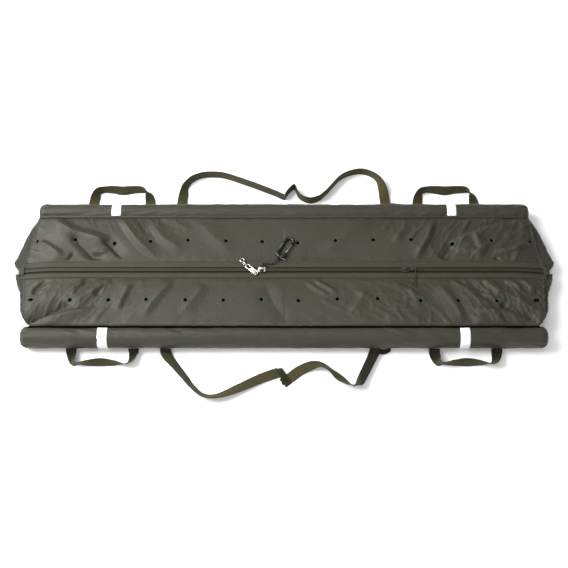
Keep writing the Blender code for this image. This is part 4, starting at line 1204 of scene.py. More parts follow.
    def build(self) -> bpy.types.Object:
        """Make the panel: a creased grid with ringed holes, given its thickness."""
        even = round((self.hole_count / 2 - 0.5) * self.cells) - self.spare_columns
        stretch = self.end_columns
        step = self.hole_pitch / self.cells
        ys = self.rows()
        hole_line = min(range(len(ys)), key=lambda j: abs(ys[j] - self.hole_row))
        across = range(-even - stretch, even + stretch + 1)
        verts, index = [], {}
        for i in across:
            for j, y in enumerate(ys):
                x = step * min(abs(i), even)
                if abs(i) > even:
                    end = self.plan.end_at(self.side, self.plan.share_at(y))
                    x += (end - x) * (abs(i) - even) / stretch
                index[i, j] = len(verts)
                verts.append([math.copysign(x, i), self.side.value * y])
        holes = [round((k - (self.hole_count - 1) / 2) * self.cells)
                 for k in range(self.hole_count)]
        taken = {(i, j) for c in holes for i in range(c - 2, c + 2)
                 for j in range(hole_line - 2, hole_line + 2)}
        faces = [(index[i, j], index[i + 1, j], index[i + 1, j + 1], index[i, j + 1])
                 for i in across[:-1] for j in range(len(ys) - 1) if (i, j) not in taken]
        for centre in holes:
            faces += self.ringed_hole(verts, index, centre, hole_line)
        used = sorted({v for face in faces for v in face})
        renumbered = {old: new for new, old in enumerate(used)}
        flat = [verts[v] for v in used]
        faces = [tuple(renumbered[v] for v in face)[:: self.side.value] for face in faces]
        moved = [self.pulled(x, y) for x, y in flat]
        raised = [(x, y, self.height(x, y)) for x, y in moved]
        piece = mesh_piece(f"cover_cloth_{self.side.word}", raised, faces, flat)
        # painted light: how far crests and valleys stand out, for the finish to lighten and darken
        mark_ridges(piece, self.ridge_reach, self.ridge_height)
        thicken(piece, self.thickness)
        return piece

    def ringed_hole(self, verts: list[list[float]], index: dict[tuple[int, int], int], column: int,
                    row: int) -> list[tuple[int, ...]]:
        """Fit a round hole into four by four cells, and return the faces round it."""
        loop = [(column - 2 + k, row - 2) for k in range(4)]
        loop += [(column + 2, row - 2 + k) for k in range(4)]
        loop += [(column + 2 - k, row + 2) for k in range(4)]
        loop += [(column - 2, row + 2 - k) for k in range(4)]
        outer = [index[spot] for spot in loop]
        cx, cy = (sum(verts[v][axis] for v in outer) / len(outer) for axis in (0, 1))
        inner = []
        for v in outer:
            dx, dy = verts[v][0] - cx, verts[v][1] - cy
            far = math.hypot(dx, dy)
            inner.append(len(verts))
            verts.append([cx + dx / far * self.hole_radius, cy + dy / far * self.hole_radius])
        count = len(outer)
        return [(outer[k], outer[(k + 1) % count], inner[(k + 1) % count], inner[k])
                for k in range(count)]


BAND_SHIFTS = {
    (Side.FAR, End.LEFT): -0.0028,
    (Side.FAR, End.RIGHT): -0.0026,
    (Side.NEAR, End.LEFT): 0.0026,
    (Side.NEAR, End.RIGHT): 0.0014,
}


@dataclass
class FloatSleeve:
    """A float's cloth sleeve with gathered ends, its two reflective bands and its foam core.

    Args:
        side: which float it is.
        plan: the sling's main sizes.
        shoulder: length of each rounded end.
        mouth: radius of the gathered mouth, to the float's radius.
        step: how far apart its rings are.
        sides: how many cells go round it.
        band_offset: from the sling's middle to a band's.
        band_width: a band's width.
        groove: how deep the seam with the cover is drawn in.
        groove_angle: how wide, in degrees round the float.
        spare: how far its gathered ends reach past the foam.
        pleat: how high the pleats at its mouths stand.
        foam_gap: between the foam and the sleeve's middle radius.
        band_open: how far, in degrees, a band's ends stay from the seam.
        band_steps: how many cells a band has round the float.
        band_cells: how many it has across.
        band_lift: how far a band stands out.
    """

    side: Side
    plan: SlingPlan
    shoulder: float = 0.016
    mouth: float = 0.40
    step: float = 0.0030
    sides: int = 72
    band_offset: float = 0.412
    band_width: float = 0.0225
    groove: float = 0.0009
    groove_angle: float = 7.0
    spare: float = 0.0
    pleat: float = 0.0011
    foam_gap: float = 0.0042
    band_open: float = 4.0
    band_steps: int = 120
    band_cells: int = 8
    band_lift: float = 0.0004

    def radius(self, x: float, angle: float) -> float:
        """The sleeve's radius at a place along it and an angle round it."""
        seed = 1.3 if self.side is Side.FAR else 6.6
        turn = math.radians(angle)
        a, b = math.cos(turn), math.sin(turn)
        to_seam = abs((angle - (180 - self.plan.seam_angle) + 180) % 360 - 180)
        waver = 1 + 0.45 * wander(x * 19, 1.0, seed)
        groove = self.groove * waver * bell(to_seam, self.groove_angle)
        long = wander(x * 5, a * 1.5, b * 1.5 + seed)
        slant = wander(x * 34 + 2.2 * angle / 60, a * 1.3, b * 1.3 + seed)
        fine = wander(x * 70, a * 3.2, b * 3.2 + seed)
        pull = sum(bell(abs(x) - place, 0.022) for place in (0.255, 0.34, 0.48))
        fold = wander(x * 11 + 1.6 * angle / 60, a * 1.2 + 4, b * 1.2 + seed)
        crease = crest(fold, 0.12) * smooth(0.6 + 2 * wander(x * 4, seed, 8.0))
        rise = 0.0012 * long + (0.0008 + 0.0012 * pull) * slant + 0.0004 * fine - 0.0011 * crease
        if self.side is Side.FAR:
            lump = bell(x - 0.262, 0.026) * bell(angle % 360 - 20, 40)
            rise += 0.0036 * lump
        banded = bell(abs(x) - self.band_offset, self.band_width * 0.62, 4)
        return self.plan.float_radius + rise * (1 - 0.75 * banded) - groove * (1 - 0.5 * banded)

    def profile(self) -> list[tuple[float, float]]:
        """Places along the sleeve with the share of its radius there, from mouth to mouth."""
        half = self.plan.float_length / 2 + self.spare
        straight = half - self.shoulder
        count = round(2 * straight / self.step)
        middle = [(-straight + 2 * straight * k / count, 1.0) for k in range(count + 1)]
        curve = []
        for k in range(1, 9):
            turn = math.radians(90 * k / 8)
            curve.append((straight + self.shoulder * math.sin(turn),
                          self.mouth + (1 - self.mouth) * math.cos(turn)))
        tucked = [(half - 0.0012, self.mouth * 0.80), (half - 0.0030, self.mouth * 0.55),
                  (half - 0.0036, self.mouth * 0.25)]
        right = curve + tucked
        return [(-x, share) for x, share in right[::-1]] + middle + right

    def build_sleeve(self) -> bpy.types.Object:
        """Make the sleeve, with pleats that run in to its closed mouths."""
        half = self.plan.float_length / 2 + self.spare
        verts, places, rings = [], [], self.profile()
        for x, share in rings:
            into_end = smooth((abs(x) - half + 2.2 * self.shoulder) / (2.2 * self.shoulder))
            for k in range(self.sides):
                angle = 360 * k / self.sides
                pleat = math.sin(math.radians(angle) * 13 + 0.8 * math.sin(math.radians(angle) * 3))
                pleat += 0.6 * math.sin(math.radians(angle) * 7 + 1.3)
                folds = self.pleat * pleat * into_end * (0.35 + share)
                verts.append(self.plan.on_float(self.side, x, angle,
                                                self.radius(x, angle) * share + folds))
                places.append((x, math.radians(angle) * self.plan.float_radius))
        faces = grid_faces(len(rings), self.sides, closed=True)
        faces += close_ends(verts, places, self.sides)
        return solid_piece(f"sleeve_cloth_{self.side.word}", verts, faces, places)

    def build_band(self, end: End) -> bpy.types.Object:
        """Make one reflective band, lying round the sleeve from seam to seam."""
        start = 180 - self.plan.seam_angle + self.band_open
        turns = [start + (360 - 2 * self.band_open) * k / self.band_steps
                 for k in range(self.band_steps + 1)]
        middle = self.band_offset + BAND_SHIFTS[self.side, end]
        across = [middle - self.band_width / 2 + self.band_width * k / self.band_cells
                  for k in range(self.band_cells + 1)]
        verts, places = [], []
        for angle in turns:
            for x in across:
                edge = 0.0002 * (abs(x - middle) / (self.band_width / 2)) ** 6
                out = self.radius(end.value * x, angle) + self.band_lift - edge
                verts.append(self.plan.on_float(self.side, end.value * x, angle, out))
                places.append((math.radians(angle) * self.plan.float_radius, x))
        return tape_piece(f"reflective_tape_{self.side.word}_{end.word}", verts, len(turns), places,
                          TAPE_THICKNESS)

    def build_core(self) -> bpy.types.Object:
        """Make the foam rod inside, from a cylinder with rounded ends."""
        deselect()
        length = self.plan.float_length - 2 * self.shoulder
        bpy.ops.mesh.primitive_cylinder_add(vertices=48,
                                            radius=self.plan.float_radius - self.foam_gap,
                                            depth=length, rotation=(0, math.pi / 2, 0),
                                            location=(0, self.side.value * self.plan.float_centre,
                                                      self.plan.float_axis))
        piece = named(f"foam_core_{self.side.word}")
        round_edges(piece, 0.004)
        settle(piece)
        return piece

    def make(self, wardrobe: Wardrobe) -> None:
        """Build and dress the float."""
        word = self.side.word
        body = f"float_{word}"
        ends = [f"float_end_{word}_{end.word}" for end in End]
        sleeve = wardrobe.dress(self.build_sleeve(), "coated_cloth", body,
                                [f"float_sleeve_{word}", *ends])
        wardrobe.dress(self.build_core(), "foam", body, [f"float_foam_{word}"])
        for end in End:
            wardrobe.dress(self.build_band(end), "reflective", body,
                           [f"reflective_band_{word}_{end.word}"])


@dataclass
class Bag:
    """The bag between the floats: its two covers, the folded cloth below and the mesh ends.

    Args:
        plan: the sling's main sizes.
        belly_half: half the folded cloth's length.
        belly_outer: its half width.
        mesh_inner: from the sling's middle to where a mesh end is sewn on.
        mesh_rows: how many rows of cells a mesh end has across the sling.
        belly_low: how much the folded cloth lies under the covers.
        mesh_start: from the zip to the first row of a mesh end.
        mesh_stop: to its last row.
        mesh_steps: how many cells it has from the cover to the ground.
        lining_rows: how many rows of cells its lining has.
        lining_inset: how far the lining lies within it.
        ground: the mesh's height over the floor.
        pouch: a mesh end's width and length when flat; not used.
        bend_inner: from the sling's middle to where a seam's bend with its float starts.
        bend_outer: from the sling's middle to where it ends.
    """

    plan: SlingPlan
    belly_half: float = 0.592
    belly_outer: float = 0.1409
    mesh_inner: float = 0.580
    mesh_rows: int = 70
    belly_low: float = 0.0150
    mesh_start: float = 0.0045
    mesh_stop: float = 0.1425
    mesh_steps: int = 34
    lining_rows: int = 28
    lining_inset: float = 0.0022
    ground: float = 0.0006
    pouch: tuple[float, float] = (0.138, 0.130)
    bend_inner: float = 0.1480
    bend_outer: float = 0.1535

    FAR_LOBE = ((0.004, 0.631, 0.030), (0.012, 0.637, 0.030), (0.020, 0.6435, 0.030),
                (0.028, 0.6460, 0.030), (0.041, 0.6405, 0.030), (0.062, 0.6340, 0.030),
                (0.085, 0.6270, 0.032), (0.105, 0.6190, 0.036), (0.120, 0.6120, 0.040),
                (0.133, 0.6045, 0.042), (0.1425, 0.5975, 0.042))
    NEAR_LOBE = ((0.003, 0.6390, 0.032), (0.014, 0.6365, 0.032), (0.030, 0.6320, 0.032),
                 (0.045, 0.6260, 0.032), (0.056, 0.6205, 0.033), (0.075, 0.6170, 0.035),
                 (0.095, 0.6150, 0.038), (0.108, 0.6120, 0.040), (0.120, 0.6060, 0.041),
                 (0.132, 0.5960, 0.042), (0.1425, 0.5860, 0.042))

    def build_cover(self, side: Side) -> tuple[bpy.types.Object, CoverCloth]:
        """Make one cover."""
        creases = FAR_CREASES if side is Side.FAR else NEAR_CREASES
        cloth = CoverCloth(side, self.plan, creases)
        cloth.lip, cloth.lip_width = (0.0012, 0.0036) if side is Side.FAR else (0.0030, 0.0060)
        return cloth.build(), cloth

    def build_belly(self) -> bpy.types.Object:
        """Make the cloth that is folded flat under the covers, as one sagging shell."""
        verts, places = [], []
        stations = 150
        outline = [(0.0, 1.0), (0.25, 1.0), (0.5, 1.0), (0.75, 1.0), (0.9, 0.99), (0.97, 0.93),
                   (0.995, 0.8), (1.0, 0.65), (0.985, 0.5), (1.0, 0.36), (0.985, 0.24),
                   (0.96, 0.12), (0.93, 0.03), (0.88, 0.0), (0.6, 0.0), (0.3, 0.0), (0.0, 0.0)]
        ring = outline + [(-a, b) for a, b in outline[-2:0:-1]]
        for i in range(stations + 1):
            x = self.belly_half * (2 * i / stations - 1)
            pinch = 1 - 0.5 * smooth((abs(x) - self.belly_half + 0.022) / 0.022)
            for a, b in ring:
                y = a * self.belly_outer * (1 - 0.03 * (1 - pinch))
                roof = self.plan.height_at(self.plan.share_at(y), x)
                top = roof - self.belly_low - self.plan.crown * 0.6
                z = b * top * (0.5 + 0.5 * pinch)
                if b > 0:
                    z += 0.0012 * wander(x * 30, y * 30, b * 3) * b
                    y += 0.0016 * wander(x * 24, b * 6, a) * (1 if a > 0 else -1) - 0.001 * a
                verts.append((x, y, max(z, 0.0)))
                places.append((x, a * 0.16 + b * 0.04))
        count = len(ring)
        faces = grid_faces(stations + 1, count, closed=True)
        faces += [tuple(range(count))[::-1], tuple(range(len(verts) - count, len(verts)))]
        return solid_piece("folded_bag", verts, faces, places)

    def lobe(self, side: Side, y: float) -> tuple[float, float]:
        """How far a mesh end reaches at a distance from the zip, and at what height."""
        table = self.FAR_LOBE if side is Side.FAR else self.NEAR_LOBE
        return table_value(table, y, 1), table_value(table, y, 2)

    def lobe_path(self, side: Side, y: float, shrink: float) -> list[tuple[float, float]]:
        """A cut through a mesh end at a distance from the zip, from the cover to the ground."""
        reach, high = self.lobe(side, y)
        reach -= shrink
        part = clamp(self.plan.share_at(y))
        edge = min(self.plan.end_at(side, part), reach - 0.002)
        roof = self.plan.height_at(part, edge) - 0.0016 - shrink
        path = [(self.mesh_inner, roof - 0.0028), (edge - 0.006, roof - 0.0010), (edge, roof)]
        deep = min(high, roof - 0.001)
        for k in range(1, 7):
            turn = math.radians(90 * k / 6)
            path.append((edge + (reach - edge) * math.sin(turn),
                         deep + (roof - deep) * math.cos(turn)))
        for k in range(1, 7):
            turn = math.radians(90 * k / 6)
            path.append((reach - 0.016 * (1 - math.cos(turn)),
                         deep - (deep - self.ground - shrink) * math.sin(turn)))
        path.append((self.mesh_inner, self.ground + shrink))
        return path

    def build_mesh_end(self, side: Side, end: End) -> bpy.types.Object:
        """Make one lobe of a mesh end: a limp pouch that bulges past the cover's edge."""
        verts, places = [], []
        steps = self.mesh_steps
        for r in range(self.mesh_rows + 1):
            y = self.mesh_start + (self.mesh_stop - self.mesh_start) * r / self.mesh_rows
            line = smooth_route(self.lobe_path(side, y, 0.0), 3)
            lengths = [0.0]
            for a, b in zip(line, line[1:]):
                lengths.append(lengths[-1] + math.hypot(b[0] - a[0], b[1] - a[1]))
            at = 0
            for k in range(steps + 1):
                want = lengths[-1] * k / steps
                while at < len(line) - 2 and lengths[at + 1] < want:
                    at += 1
                part = clamp((want - lengths[at]) / max(lengths[at + 1] - lengths[at], 1e-9))
                x = line[at][0] + (line[at + 1][0] - line[at][0]) * part
                z = line[at][1] + (line[at + 1][1] - line[at][1]) * part
                loose = smooth(k / steps * 4 - 0.6) * smooth((1 - k / steps) * 4)
                wave = wander(y * 62 + 3 * end.value, k * 0.20, side.value * 5.0)
                fine = wander(y * 160 + 3 * end.value, k * 0.45, side.value * 8.0)
                x += (0.0009 * wave + 0.0005 * fine) * loose
                z = max(z + (0.0016 * wave - 0.0006 * fine) * loose, self.ground)
                verts.append((end.value * x, side.value * y, z))
                places.append((y, want))
        return mesh_piece(f"mesh_pouch_{end.word}_{side.word}", verts,
                          grid_faces(self.mesh_rows + 1, steps + 1), places)

    def build_liner(self, side: Side, end: End) -> bpy.types.Object:
        """Make the dark cloth that shows through one lobe's mesh."""
        verts, places = [], []
        rows, first, last = self.lining_rows, 0.0055, 0.1405
        for r in range(rows + 1):
            y = first + (last - first) * r / rows
            path = self.lobe_path(side, y, self.lining_inset)
            for x, z in path:
                verts.append((end.value * x, side.value * y, z))
                places.append((x, z + y))
        count = len(path)
        faces = grid_faces(rows + 1, count, closed=True)
        faces += [tuple(range(count)), tuple(range(len(verts) - count, len(verts)))]
        return solid_piece(f"mesh_lining_{end.word}_{side.word}", verts, faces, places)

    def seam_strip(self, name: str, edges: Sequence[tuple[float, Vector, Vector]], steps: int,
                   swell: float, width: float) -> bpy.types.Object:
        """Make a thin sheet between two edges: a lap of cloth, or a strip of painted shade.

        Args:
            name: the piece's name.
            edges: each row's place along the sling, its lower end and its upper end.
            steps: how many cells a row has.
            swell: how far the cloth's middle stands up.
            width: the cloth's width.

        Returns:
            The thickened cloth.
        """
        verts, places = [], []
        for x, low, top in edges:
            for k in range(steps + 1):
                share = k / steps
                spot = low.lerp(top, share)
                spot.z += swell * math.sin(math.pi * share)
                verts.append(spot)
                places.append((x, share * width))
        return tape_piece(name, verts, len(edges), places, TAPE_THICKNESS)

    def build_seam(self, side: Side, cloth: CoverCloth) -> bpy.types.Object:
        """Make the near-black strip of painted shade in the groove between a cover and its float.
        """
        near = side is Side.NEAR
        sleeve = FloatSleeve(side, self.plan)
        start, inner, outer = (0.586, 0.1478, 121.0) if near else (0.592, 0.1446, 0.0)
        count = 560
        edges = []
        for i in range(count + 1):
            x = start * (2 * i / count - 1)
            wave = wander(x * 14, 4.0, 3.0 * side.value)
            crimp = wander(x * 75, 7.0, 3.0 * side.value)
            y = inner - (0.0006 * crimp + 0.0005 * wave) * (1 if near else 0.4)
            low = cloth.spot(x, y, 0.0007)
            if near:
                fade = smooth((start - abs(x)) / 0.10)
                turn = outer + (3.0 * wave + 3.0 * crimp) + 5.0 * (1 - fade)
                top = self.plan.on_float(side, x, turn, sleeve.radius(x, turn) + 0.0009)
            else:
                top = cloth.spot(x, y + 0.0014, 0.0006)
            edges.append((x, low, top))
        return self.seam_strip(f"seam_tape_{side.word}", edges, 6, 0.0003 if near else 0.0001,
                               0.005)

    def build_lap(self, side: Side, cloth: CoverCloth) -> bpy.types.Object:
        """Make the lap of cloth that joins a cover to its float."""
        sleeve = FloatSleeve(side, self.plan)
        start, count, turn = 0.590, 400, 129.0
        y = self.plan.cover_outer - 0.0022
        edges = []
        for i in range(count + 1):
            x = start * (2 * i / count - 1)
            edges.append((x, cloth.spot(x, y, -0.0002),
                          self.plan.on_float(side, x, turn, sleeve.radius(x, turn) + 0.0002)))
        return self.seam_strip(f"seam_lap_{side.word}", edges, 8, -0.0005, 0.006)

    def build_binding(self, side: Side, end: End, cloth: CoverCloth) -> bpy.types.Object:
        """Make the tape that binds a cover's end edge."""
        frames, steps = [], 52
        inner, outer = self.plan.cover_inner, self.plan.cover_outer - 0.004
        for k in range(steps + 1):
            y = inner + (outer - inner) * k / steps
            edge = self.plan.end_at(side, self.plan.share_at(y))
            z = cloth.height(end.value * edge, side.value * y)
            inward = cloth.height(end.value * (edge - 0.006), side.value * y)
            across = Vector((end.value * 0.006, 0, z - inward)).normalized()
            frames.append((Vector((end.value * (edge - 0.0006), side.value * y, z)), across,
                           across.cross(Vector((0, 1, 0))).normalized()))
        return Strip(f"edge_binding_{end.word}_{side.word}", 0.0056, 0.0020, 4).build(frames)

    def make(self, wardrobe: Wardrobe) -> dict[Side, CoverCloth]:
        """Build and dress the bag, and return each cover's cloth for what lies on it."""
        cloths = {}
        belly = wardrobe.dress(self.build_belly(), "belly_cloth", "sling", ["bag_belly"])
        for side in Side:
            piece, cloth = self.build_cover(side)
            cloths[side] = cloth
            wardrobe.dress(piece, "cover_cloth", "sling", [f"cover_{side.word}"])
            bend = (f"float_{side.word}", (0, side.value * self.bend_inner, 0),
                    (0, side.value * self.bend_outer, 0))
            # near-black strip of painted shade in each seam groove
            wardrobe.dress(self.build_seam(side, cloth), "seam_shade", "sling",
                           bends_to=bend if side is Side.NEAR else None)
            if side is Side.FAR:
                wardrobe.dress(self.build_lap(side, cloth), "coated_cloth", "sling", bends_to=bend)
            for end in End:
                pouch = wardrobe.dress(self.build_mesh_end(side, end), "end_mesh", "sling",
                                       [f"mesh_end_{end.word}_{side.word}"])
                wardrobe.dress(self.build_liner(side, end), "mesh_lining", "sling")
                wardrobe.dress(self.build_binding(side, end, cloth), "binding", "sling",
                               [f"end_binding_{end.word}_{side.word}"])
        return cloths


# Webbing
HANDLE_ROUTE = (
    (-1.00, 0.00, 0, 1.0), (-1.00, 0.16, 0, 0.78), (-0.99, 0.38, 4, 0.34),
    (-0.95, 0.66, 28, 0), (-0.86, 0.90, 66, 0), (-0.68, 1.00, 84, 0),
    (-0.36, 1.00, 74, 0), (0.00, 0.96, 62, 0), (0.36, 1.00, 74, 0),
    (0.68, 1.00, 84, 0), (0.86, 0.90, 114, 0), (0.95, 0.66, 152, 0),
    (0.99, 0.38, 176, 0.34), (1.00, 0.16, 180, 0.78), (1.00, 0.00, 180, 1.0),
)
NEAR_HANDLE_ROUTE = (
    (-1.00, 0.00, 0, 1.0), (-1.00, 0.16, 18, 0.78), (-0.99, 0.38, 36, 0.40),
    (-0.96, 0.66, 46, 0), (-0.89, 0.90, 56, 0), (-0.74, 1.00, 64, 0),
    (-0.40, 0.96, 94, 0), (0.00, 0.91, 112, 0), (0.40, 0.96, 98, 0),
    (0.74, 1.00, 78, 0), (0.87, 0.92, 108, 0), (0.94, 0.66, 136, 0),
    (0.98, 0.38, 148, 0.40), (1.00, 0.16, 164, 0.78), (1.00, 0.00, 180, 1.0),
)
FAR_LEFT_ROUTE = (
    (-1.000, 0.000, 0, 1.0), (-1.000, 0.079, 0, 0.7), (-0.992, 0.230, 6, 0.28),
    (-0.982, 0.434, 30, 0), (-0.958, 0.663, 66, 0), (-0.885, 0.856, 84, 0),
    (-0.780, 0.946, 88, 0), (-0.680, 0.954, 88, 0), (-0.582, 0.922, 87, 0),
    (-0.400, 0.759, 86, 0), (-0.200, 0.561, 86, 0), (-0.090, 0.445, 87, 0),
    (0.000, 0.335, 88, 0),
)
FAR_LOOP_ROUTE = (
    (0.0053, 0.335, 90, 0), (0.025, 0.420, 90, 0), (0.060, 0.535, 90, 0),
    (0.088, 0.605, 90, 0), (0.108, 0.605, 90, 0), (0.122, 0.530, 90, 0),
    (0.134, 0.434, 90, 0),
)
FAR_RIGHT_ROUTE = (
    (0.1356, 0.427, 90, 0), (0.158, 0.350, 90, 0), (0.203, 0.282, 88, 0),
    (0.265, 0.248, 86, 0), (0.345, 0.320, 90, 0), (0.430, 0.518, 92, 0),
    (0.520, 0.783, 92, 0), (0.605, 0.946, 92, 0), (0.740, 1.042, 90, 0),
    (0.850, 0.982, 88, 0), (0.925, 0.831, 74, 0), (0.965, 0.615, 40, 0),
    (0.980, 0.398, 12, 0), (0.986, 0.230, 3, 0.28), (0.986, 0.079, 0, 0.7),
    (0.986, 0.000, 0, 1.0),
)
NEAR_LEFT_ROUTE = (
    (-1.058, 0.000, 0, 1.0), (-1.058, 0.050, 0, 0.8), (-1.046, 0.110, -10, 0.6),
    (-1.020, 0.200, -22, 0.4), (-0.976, 0.320, -34, 0.2), (-0.890, 0.560, -44, 0),
    (-0.805, 0.797, -54, 0), (-0.705, 0.975, -52, 0), (-0.580, 0.985, -44, 0),
    (-0.420, 0.835, -22, 0), (-0.200, 0.594, -6, 0), (-0.050, 0.468, 0, 0),
)
NEAR_LOOP_ROUTE = (
    (-0.046, 0.412, -44, 0.30), (-0.018, 0.510, -44, 0.31), (0.010, 0.629, -36, 0.31),
    (0.026, 0.722, -20, 0.30),
)
NEAR_RIGHT_ROUTE = (
    (-0.012, 0.699, 0, 0), (0.060, 0.570, 0, 0), (0.145, 0.426, -2, 0),
    (0.250, 0.325, -12, 0), (0.335, 0.337, -40, 0), (0.410, 0.444, -52, 0),
    (0.490, 0.600, -34, 0), (0.565, 0.737, -56, 0), (0.622, 0.779, -72, 0),
    (0.662, 0.735, -44, 0), (0.690, 0.600, -30, 0), (0.738, 0.380, -26, 0.1),
    (0.778, 0.200, -22, 0.4), (0.798, 0.110, -14, 0.6), (0.812, 0.050, -5, 0.8),
    (0.817, 0.000, 0, 1.0),
)
STRAP_ROUTES = {
    Side.FAR: {"left": FAR_LEFT_ROUTE, "loop": FAR_LOOP_ROUTE, "right": FAR_RIGHT_ROUTE},
    Side.NEAR: {"left": NEAR_LEFT_ROUTE, "loop": NEAR_LOOP_ROUTE, "right": NEAR_RIGHT_ROUTE},
}


# Where each weighing strap's run has its painted shade: how far out from its float, from what
# place along it on, and how deep
LEG_SHADES = {
    (Side.FAR, "left"): (0.018, -1.0, 1.0),
    (Side.FAR, "loop"): (0.300, 0.0, 0.35),
    (Side.FAR, "right"): (0.024, 0.15, 1.0),
    (Side.NEAR, "left"): (0.012, -1.0, 1.0),
    (Side.NEAR, "loop"): (0.300, -1.0, 0.45),
    (Side.NEAR, "right"): (0.160, 0.165, 0.92),
}


@dataclass
class Webbing:
    """The woven handles and weighing straps that leave the floats.

    Args:
        plan: the sling's main sizes.
        width: the webbing's width.
        thickness: its thickness.
        anchor_y: from the sling's middle to where it leaves a float.
        anchor_z: the height there.
        backset: how far its sewn end starts behind that line.
        ground: the lowest edge's height over the floor.
        leg_spacing: between a handle's legs.
        handle_reach_far: how far the far handles lie out from their float.
        handle_reach_near: how far the near ones do.
        handle_centre_far: from the sling's middle to a far handle's.
        handle_centre_near: the same of the near ones.
        strap_half_span: half of what a weighing strap spans.
        strap_reach_far: how far the far strap lies out from its float.
        strap_reach_near: how far the near one does.
        curve_steps: rows that the smooth curve adds for each route row.
        sewn: from a sewn end to its rows of stitches.
        box: length of a stitched box.
        stitch: length of a stitch, with its gap.
    """

    plan: SlingPlan
    width: float = 0.025
    thickness: float = 0.0016
    anchor_y: float = 0.19110326
    anchor_z: float = 0.01275
    backset: float = 0.0006
    ground: float = 0.0003
    leg_spacing: float = 0.1435
    handle_reach_far: float = 0.083
    handle_reach_near: float = 0.060
    handle_centre_far: float = 0.405
    handle_centre_near: float = 0.417
    strap_half_span: float = 0.257
    strap_reach_far: float = 0.135
    strap_reach_near: float = 0.140
    curve_steps: int = 12
    sewn: tuple[float, float] = (0.0012, 0.0045)
    box: float = 0.022
    stitch: float = 0.0032

    def rest_height(self, lean: float) -> float:
        """Height of the middle of webbing that stands on its lower edge at a lean from flat."""
        turn = math.radians(lean)
        edge = self.width / 2 * abs(math.sin(turn)) + self.thickness / 2 * abs(math.cos(turn))
        return self.ground + edge

    def out(self, reach: float, share: float) -> float:
        """Distance from the sling's middle at a share of the way out."""
        if share == 0:
            return self.anchor_y - self.backset
        return self.anchor_y + (self.plan.float_centre + reach - self.anchor_y) * share

    def handle_rows(self, side: Side, end: End) -> list[tuple[float, float, float, float]]:
        """A handle's route in real sizes: place along and across, lean and least height."""
        far = side is Side.FAR
        centre = end.value * (self.handle_centre_far if far else self.handle_centre_near)
        reach = self.handle_reach_far if far else self.handle_reach_near
        half = self.leg_spacing / 2 * side.value
        return [(centre + half * x, side.value * self.out(reach, y), lean, self.anchor_z * lift)
                for x, y, lean, lift in (HANDLE_ROUTE if far else NEAR_HANDLE_ROUTE)]

    def strap_rows(self, side: Side, run: str) -> list[tuple[float, float, float, float]]:
        """One run of a weighing strap in real sizes."""
        reach = self.strap_reach_far if side is Side.FAR else self.strap_reach_near
        return [(self.strap_half_span * x, side.value * self.out(reach, y), lean,
                 self.anchor_z * lift) for x, y, lean, lift in STRAP_ROUTES[side][run]]

    def frames(self, route: Sequence[Sequence[float]]) -> list[tuple[Vector, Vector, Vector]]:
        """Turn a route into frames for a strip, with the slight ripple of worn webbing."""
        rows = smooth_route(route, self.curve_steps)
        made = []
        for i, (x, y, lean, lift) in enumerate(rows):
            before, after = rows[max(i - 1, 0)], rows[min(i + 1, len(rows) - 1)]
            heights = [max(self.rest_height(row[2]), row[3]) for row in (before, after)]
            along = Vector((after[0] - before[0], after[1] - before[1],
                            heights[1] - heights[0])).normalized()
            flat = Vector((-along.y, along.x, 0)).normalized()
            turn = math.radians(lean)
            across = flat * math.cos(turn) + Vector((0, 0, 1)) * math.sin(turn)
            across = (across - along * across.dot(along)).normalized()
            face = along.cross(across)
            if face.z < 0:
                across, face = -across, -face
            ripple = 0.0005 * wander(x * 55, y * 55, 3.0) * smooth(min(i, len(rows) - 1 - i) / 8)
            middle = Vector((x, y, max(self.rest_height(lean), lift) + abs(ripple)))
            made.append((middle + face * ripple, across, face))
        for before, i in ((made[k - 1], k) for k in range(1, len(made))):
            middle, across, face = made[i]
            if across.dot(before[1]) < 0:
                made[i] = (middle, -across, -face)
        return made

    def stitches(self, name: str, frames: Sequence[tuple[Vector, Vector, Vector]],
                 places: Sequence[tuple[float, float, float, float]]) -> bpy.types.Object:
        """Sew rows of stitches on a strip.

        Args:
            name: the piece's name.
            frames: the strip's frames.
            places: each row's start and end, as shares along the frames and of the half width.

        Returns:
            All of the stitches as one piece.
        """
        verts, faces = [], []
        lengths = run_lengths([frame[0] for frame in frames])

        def lay(run: float, share: float) -> tuple[Vector, Vector, Vector]:
            """Find a place on the strip, with the directions along it and out of it."""
            run = clamp(run, 0, lengths[-1])
            at = next((k for k in range(len(lengths) - 1) if lengths[k + 1] >= run),
                      len(lengths) - 2)
            part = (run - lengths[at]) / max(lengths[at + 1] - lengths[at], 1e-9)
            middle = frames[at][0].lerp(frames[at + 1][0], part)
            across, face = frames[at][1], frames[at][2]
            return middle + across * share * self.width / 2, across, face

